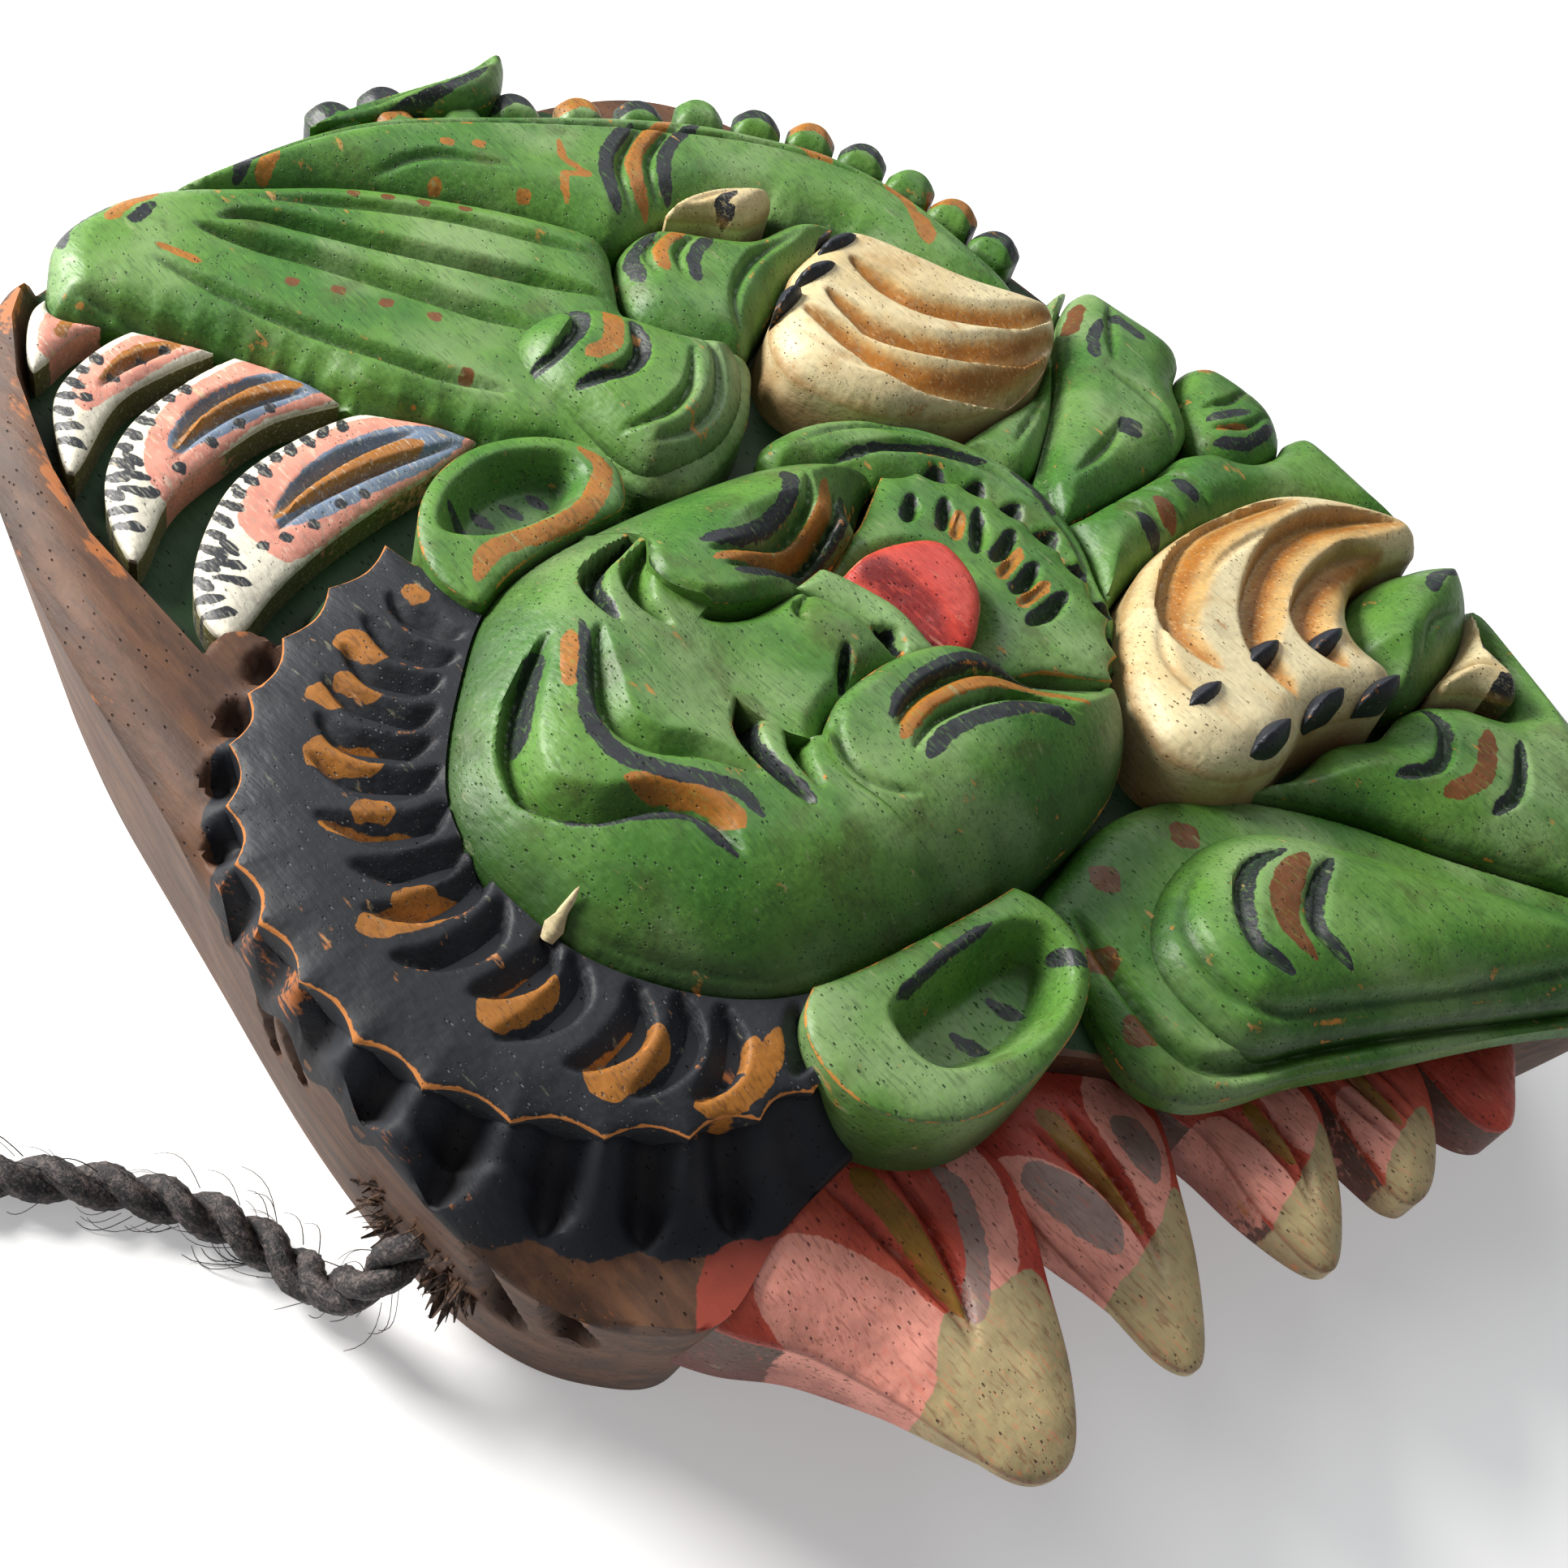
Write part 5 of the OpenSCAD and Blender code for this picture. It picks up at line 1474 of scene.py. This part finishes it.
def board_paint(marks, top, pocket, outline, bridge, soot):
    """The paint on the board's top: green darkened with painted shade in the pocket, black on the
    hair's skirt.
    """
    values = marks.coverage(top)
    values["black"] = paint_value(soot)
    bare = paint_value(ring_distance(smooth(BARE_PATCH, closed=True) + LAYOUT, top))
    green = np.minimum(paint_value(ring_distance(pocket, top)),
                       paint_value(ring_distance(outline, top) - 1.5))
    values["green_in_painted_shade"] = np.minimum(green, 2 * PAINT_EDGE - bare) * (1 - bridge)
    return values


def board_top(foot, grow, floor_top, rim_top, pocket):
    """The points, faces and paint of the board's top. Its first points are its outline."""
    outline = foot * grow
    feather = resample(rings_of("left_feather_1")[0], 0.4)
    # The rim stands where the pocket's edge keeps clear of the outline
    rises = ease((-ring_distance(pocket, outline) - 1.4) / 1.5)
    joint = ease((7.0 - nearest(outline, feather)) / 5.0)
    top_z = rim_height(outline - LAYOUT, rim_top) - floor_top - RIM_ROLL * (1 - joint)
    top_z = floor_top + top_z * rises
    edge = foot * (1 + (grow - 1) * top_z / rim_top)[:, None]
    border = closed(pocket, 0.7)[:-1]
    steps = [border - inward(border) * offset for offset in (-0.1, 0.5, 1.1)]
    top, faces = fill(edge, 0.85, np.vstack(steps))
    n = len(edge)
    to_edge = nearest(top, closed(edge, 0.3))
    bridge = ease((5.0 - nearest(top, resample(smooth(RIM_SEAM) + LAYOUT, 0.5))) / 2.0)
    climb = np.maximum(ease(-ring_distance(pocket, top) / 1.1), bridge)
    z = floor_top + (rim_height(top - LAYOUT, rim_top) - floor_top) * climb
    z[:n] = top_z
    roll = np.clip(1 - to_edge / 6.0, 0, 1) ** 2
    z[n:] -= (RIM_ROLL * roll * climb * (1 - ease((9.0 - nearest(top, feather)) / 7.0)))[n:]
    # The hair's skirt slopes down to the rim
    away = -ring_distance(even_ring(rings_of("hair_crown")[0], 0.6), top)
    skirt = 2.6 + 5.6 * ease((8 - top[:, 0] + LAYOUT[0]) / 20)
    slope = (1 - np.clip(away / skirt, 0, 1)) ** 1.5
    hair_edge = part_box("hair_crown")[1][2] / MM - 1.6
    z[n:] = np.maximum(z, z + (hair_edge - z) * slope)[n:]
    marks = board_marks()
    z += marks.change(top)
    soot = skirt - 0.4 - away - 4.0 * ease((top[:, 0] - LAYOUT[0] - 24) / 6)
    values = board_paint(marks, top, pocket, outline, bridge, soot)
    relief = bumpiness(z, faces, 8)
    sooty = 1 - 0.7 * ease(skirt + 1.5 - away)
    values["wear"] = np.clip(relief * 0.8, 0, 0.8) * sooty + np.clip(1 - to_edge / 3.0, 0, 1) * 0.5
    # Painted shade in the board's dips
    values["hollow"] = np.clip(-relief * 1.6, 0, 1) * 0.6
    return top, z, faces, values, top_z, rises


def back_block():
    """The board: tapered bare walls, a rounded rim, a green pocket floor darkened with painted shade
    and flutes by the hair.
    """
    name = "back_block"
    low, high = [np.array(corner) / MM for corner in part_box(name)]
    foot = even_ring(rings_of(name)[0], 0.7)
    floor_top = round(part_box("forehead")[0][2] / MM, 3)
    grow = (high[0] - low[0]) / (foot[:, 0].max() - foot[:, 0].min())
    pocket = max(rings_of(name, up=True, level=floor_top), key=len)
    top, z, faces, values, top_z, rises = board_top(foot, grow, floor_top, high[2], pocket)
    n = len(foot)
    facing = np.column_stack([inward(foot), np.zeros(n)])
    points = [np.column_stack([top, z])]
    levels = 34
    above = np.arange(n)
    for k in range(1, levels + 1):
        height = top_z * (1 - k / levels)
        wall = np.column_stack([foot * (1 + (grow - 1) * height / high[2])[:, None], height])
        wall -= facing * 0.27 * math.sin(math.pi * k / levels) * (1 - rises)[:, None]
        # The slots' insides get painted shade through hollow
        wall_values = {"hollow": press_slots(wall, facing),
                       "wear": np.full(n, 0.35 * (1 - k / levels) ** 4)}
        for key in values:
            values[key] = np.concatenate([values[key], wall_values.get(key, np.zeros(n))])
        below = sum(len(p) for p in points) + np.arange(n)
        points.append(wall)
        faces += strip(above, below)
        above = below
    faces.append(above[::-1])
    faces = [[int(v) for v in face] for face in faces]
    obj = make_mesh("back_board", np.vstack(points), faces, values, WOOD)
    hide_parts(name)
    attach(obj, "root")


def splinter():
    """A pale chip of wood that stands up where the hair meets the forehead."""
    foot = np.array([-9.6, 30.0, 35.5]) + [LAYOUT[0], LAYOUT[1], 0]
    tip = foot + [0.9, -3.8, 4.6]
    axis = (tip - foot) / np.linalg.norm(tip - foot)
    a = np.cross(axis, [0, 0, 1.0])
    a /= np.linalg.norm(a)
    b = np.cross(axis, a)
    points = []
    sides = 7
    stations = [(0.0, 0.75), (0.25, 0.9), (0.5, 0.62), (0.75, 0.4), (0.93, 0.16)]
    for share, width in stations:
        for i in range(sides):
            turn = 2 * math.pi * i / sides
            wobble = 1 + 0.25 * math.sin(3.0 * i + 9 * share)
            points.append(foot + (tip - foot) * share
                          + width * wobble * (math.cos(turn) * a + 0.6 * math.sin(turn) * b))
    points.append(tip)
    last = (len(stations) - 1) * sides
    faces = tube_faces(0, len(stations), sides)[:-1]
    faces += [[last + i, last + (i + 1) % sides, len(points) - 1] for i in range(sides)]
    obj = make_mesh("splinter", np.array(points), faces, {}, IVORY)
    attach(obj, "root")


# ---- rope ----
ROPE_D = 5.5
ROPE_ROUTE = [
    (-19.5, 47, 13), (-19.5, 51, 12.5), (-18.5, 54.5, 9), (-15, 56, 5), (-10, 56.5, 2.75),
    (-4, 58.5, 2.75), (2, 62, 2.75), (7.5, 66.5, 2.75), (13, 72.5, 2.75), (18, 79, 2.75),
    (22.5, 86, 2.75), (26, 93, 2.75), (27.7, 99, 2.75), (28, 104, 2.75),
]
COIL_TURNS = 1.5
COIL_R = 30.75
KNOT_R = 5.0


def rope_path():
    """The rope's centreline: out of the hole, down to the table and into its flat coil."""
    route = smooth(ROPE_ROUTE, per_span=4)
    centre = np.array([ROPE_ROUTE[-1][0] + COIL_R, ROPE_ROUTE[-1][1]])
    knot_at = COIL_R - 1.5 * ROPE_D - KNOT_R
    steps = 60
    coil = []
    for i in range(1, steps + 1):
        turn = COIL_TURNS * i / steps
        radius = COIL_R - ROPE_D * turn
        radius -= (radius - knot_at) * ease(np.array((turn - 1.2) / 0.3)) * 0.8
        angle = math.pi - 2 * math.pi * turn
        coil.append((centre[0] + radius * math.cos(angle), centre[1] + radius * math.sin(angle),
                     ROPE_D / 2))
    line = np.vstack([route, coil])
    return line + np.array([LAYOUT[0], LAYOUT[1], 0])


def frames_along(line):
    """Two steady cross directions at each point of a line."""
    tangent = np.gradient(line, axis=0)
    tangent /= np.linalg.norm(tangent, axis=1)[:, None]
    a = np.cross(tangent[0], [0, 0, 1.0])
    a /= np.linalg.norm(a)
    across = []
    for t in tangent:
        a = a - t * (a @ t)
        a /= np.linalg.norm(a)
        across.append(a)
    across = np.array(across)
    return across, np.cross(tangent, across)


def twisted(line, strands, pitch, radius, strand_r, sides, ridges=0):
    """Tubes that wind round a line: points and faces."""
    line = resample(line, 0.6)
    a, b = frames_along(line)
    gaps = np.linalg.norm(np.diff(line, axis=0), axis=1)
    run = np.concatenate([[0], np.cumsum(gaps)])
    points = []
    faces = []
    for s in range(strands):
        turn = 2 * math.pi * (run / pitch + s / strands)
        core = line + radius * (np.cos(turn)[:, None] * a + np.sin(turn)[:, None] * b)
        u, v = frames_along(core)
        start = len(points)
        for i in range(len(core)):
            for k in range(sides):
                angle = 2 * math.pi * k / sides
                spin = angle + turn[i] * 0.6
                r = strand_r * (1 + 0.10 * math.cos(ridges * spin)) if ridges else strand_r
                points.append(core[i] + r * (math.cos(angle) * u[i] + math.sin(angle) * v[i]))
        faces += tube_faces(start, len(core), sides)
    return np.array(points), faces


def rope():
    """The rope, its knot, the fibres at its hole and its loose hairs."""
    line = rope_path()
    points, faces = twisted(line, strands=2, pitch=11.0, radius=1.04, strand_r=1.26, sides=20,
                            ridges=7)
    points[:, 2] = np.maximum(points[:, 2], 0.02)
    obj = make_mesh("twisted_rope", points, faces, {}, ROPE)
    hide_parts("rope", "rope_coil")
    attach(obj, "root")
    knot = end_knot()
    tuft = hole_tuft()
    hairs = rope_hairs(line)


def rope_hairs(line):
    """Fine loose fibres that stand off the rope."""
    rng = np.random.default_rng(11)
    line = resample(line, 1.0)
    across, other = frames_along(line)
    tangent = np.cross(across, other)
    points = []
    faces = []
    count = 150
    steps = 7
    # Only the stretch from the hole to the start of the coil is frayed
    first = 6
    last = 140
    for _ in range(count):
        i = int(rng.integers(first, last))
        turn = rng.uniform(0, 2 * math.pi)
        out = math.cos(turn) * across[i] + math.sin(turn) * other[i]
        side = np.cross(tangent[i], out)
        length = rng.uniform(2.5, 8.0)
        curl = rng.uniform(-1.2, 1.2)
        start = len(points)
        for k in range(steps):
            share = k / (steps - 1)
            centre = (line[i] + out * (2.2 + length * 0.35 * math.sin(2.2 * share))
                      + tangent[i] * length * share * 0.8 + side * curl * length * 0.3 * share ** 2)
            centre[2] = max(centre[2], 0.15)
            thick = 0.07 * (1 - 0.5 * share)
            points += [centre + thick * out, centre + thick * side, centre - thick * (out + side)]
        faces += tube_faces(start, steps, 3)
    obj = make_mesh("rope_hairs", np.array(points), faces, {}, ROPE)
    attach(obj, "root")
    return obj


def end_knot():
    """The overhand knot that ends the rope."""
    centre = np.array([sum(c) / 2 / MM for c in zip(*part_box("rope_end_knot"))])
    loops = []
    for i in range(48):
        t = 2 * math.pi * i / 47
        loops.append(centre + 1.05 * np.array([
            math.sin(t) + 1.9 * math.sin(2 * t) * 0.55,
            (math.cos(t) - 1.9 * math.cos(2 * t)) * 0.62,
            -1.15 * math.sin(3 * t) * 1.2]))
    points, faces = twisted(np.array(loops), strands=2, pitch=7.0, radius=0.95, strand_r=1.25,
                            sides=12, ridges=5)
    points[:, 2] = np.maximum(points[:, 2], 0.02)
    obj = make_mesh("rope_knot", points, faces, {}, ROPE)
    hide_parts("rope_end_knot")
    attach(obj, "root")
    return obj


def hole_tuft():
    """Frayed bark-like fibres that burst round the rope at the mouth of its hole."""
    rng = np.random.default_rng(7)
    mouth = np.array([ROPE_ROUTE[0][0] + LAYOUT[0], 50.4 + LAYOUT[1], ROPE_ROUTE[0][2]])
    # Share of the length and share of the width
    stations = ((0.0, 1.0), (0.4, 1.1), (0.75, 0.7), (1.0, 0.25))
    count = 260
    points = []
    faces = []
    for _ in range(count):
        turn = rng.uniform(0, 2 * math.pi)
        radius = rng.uniform(2.4, 5.0)
        foot = mouth + [1.35 * radius * math.cos(turn), -2.5 - 0.1 * radius,
                        1.2 * radius * math.sin(turn)]
        length = rng.uniform(1.2, 3.8)
        lean = np.array([math.cos(turn) * 0.6, rng.uniform(0.4, 1.0), math.sin(turn) * 0.6])
        lean += rng.normal(0, 0.22, 3)
        lean /= np.linalg.norm(lean)
        across = np.cross(lean, rng.normal(0, 1, 3))
        across /= np.linalg.norm(across)
        other = np.cross(lean, across)
        width = rng.uniform(0.15, 0.65)
        start = len(points)
        bend = rng.normal(0, 0.8, 3)
        for share, thick in stations:
            centre = foot + lean * length * share + bend * share ** 2
            for k in range(4):
                angle = math.pi / 2 * k
                points.append(centre + width * thick * (math.cos(angle) * across
                                                        + 0.5 * math.sin(angle) * other))
        faces += tube_faces(start, len(stations), 4)
    obj = make_mesh("hole_fibres", np.array(points), faces, {}, TUFT)
    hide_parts("rope_tuft")
    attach(obj, "root")
    return obj


camera()
studio()
rope()
for build in (back_block, forehead, left_cheek, right_cheek, nose, upper_lip, tongue, beard_collar,
              hair_crown, left_ear, right_ear, left_wing, right_wing, left_feathers, right_feathers,
              chest_ring, belly, sash, tail_stub, right_thigh, left_hand, right_hand, grip_ball,
              thumb_claws, left_limb, right_limbs, crest_lobes, fin, splinter):
    build()
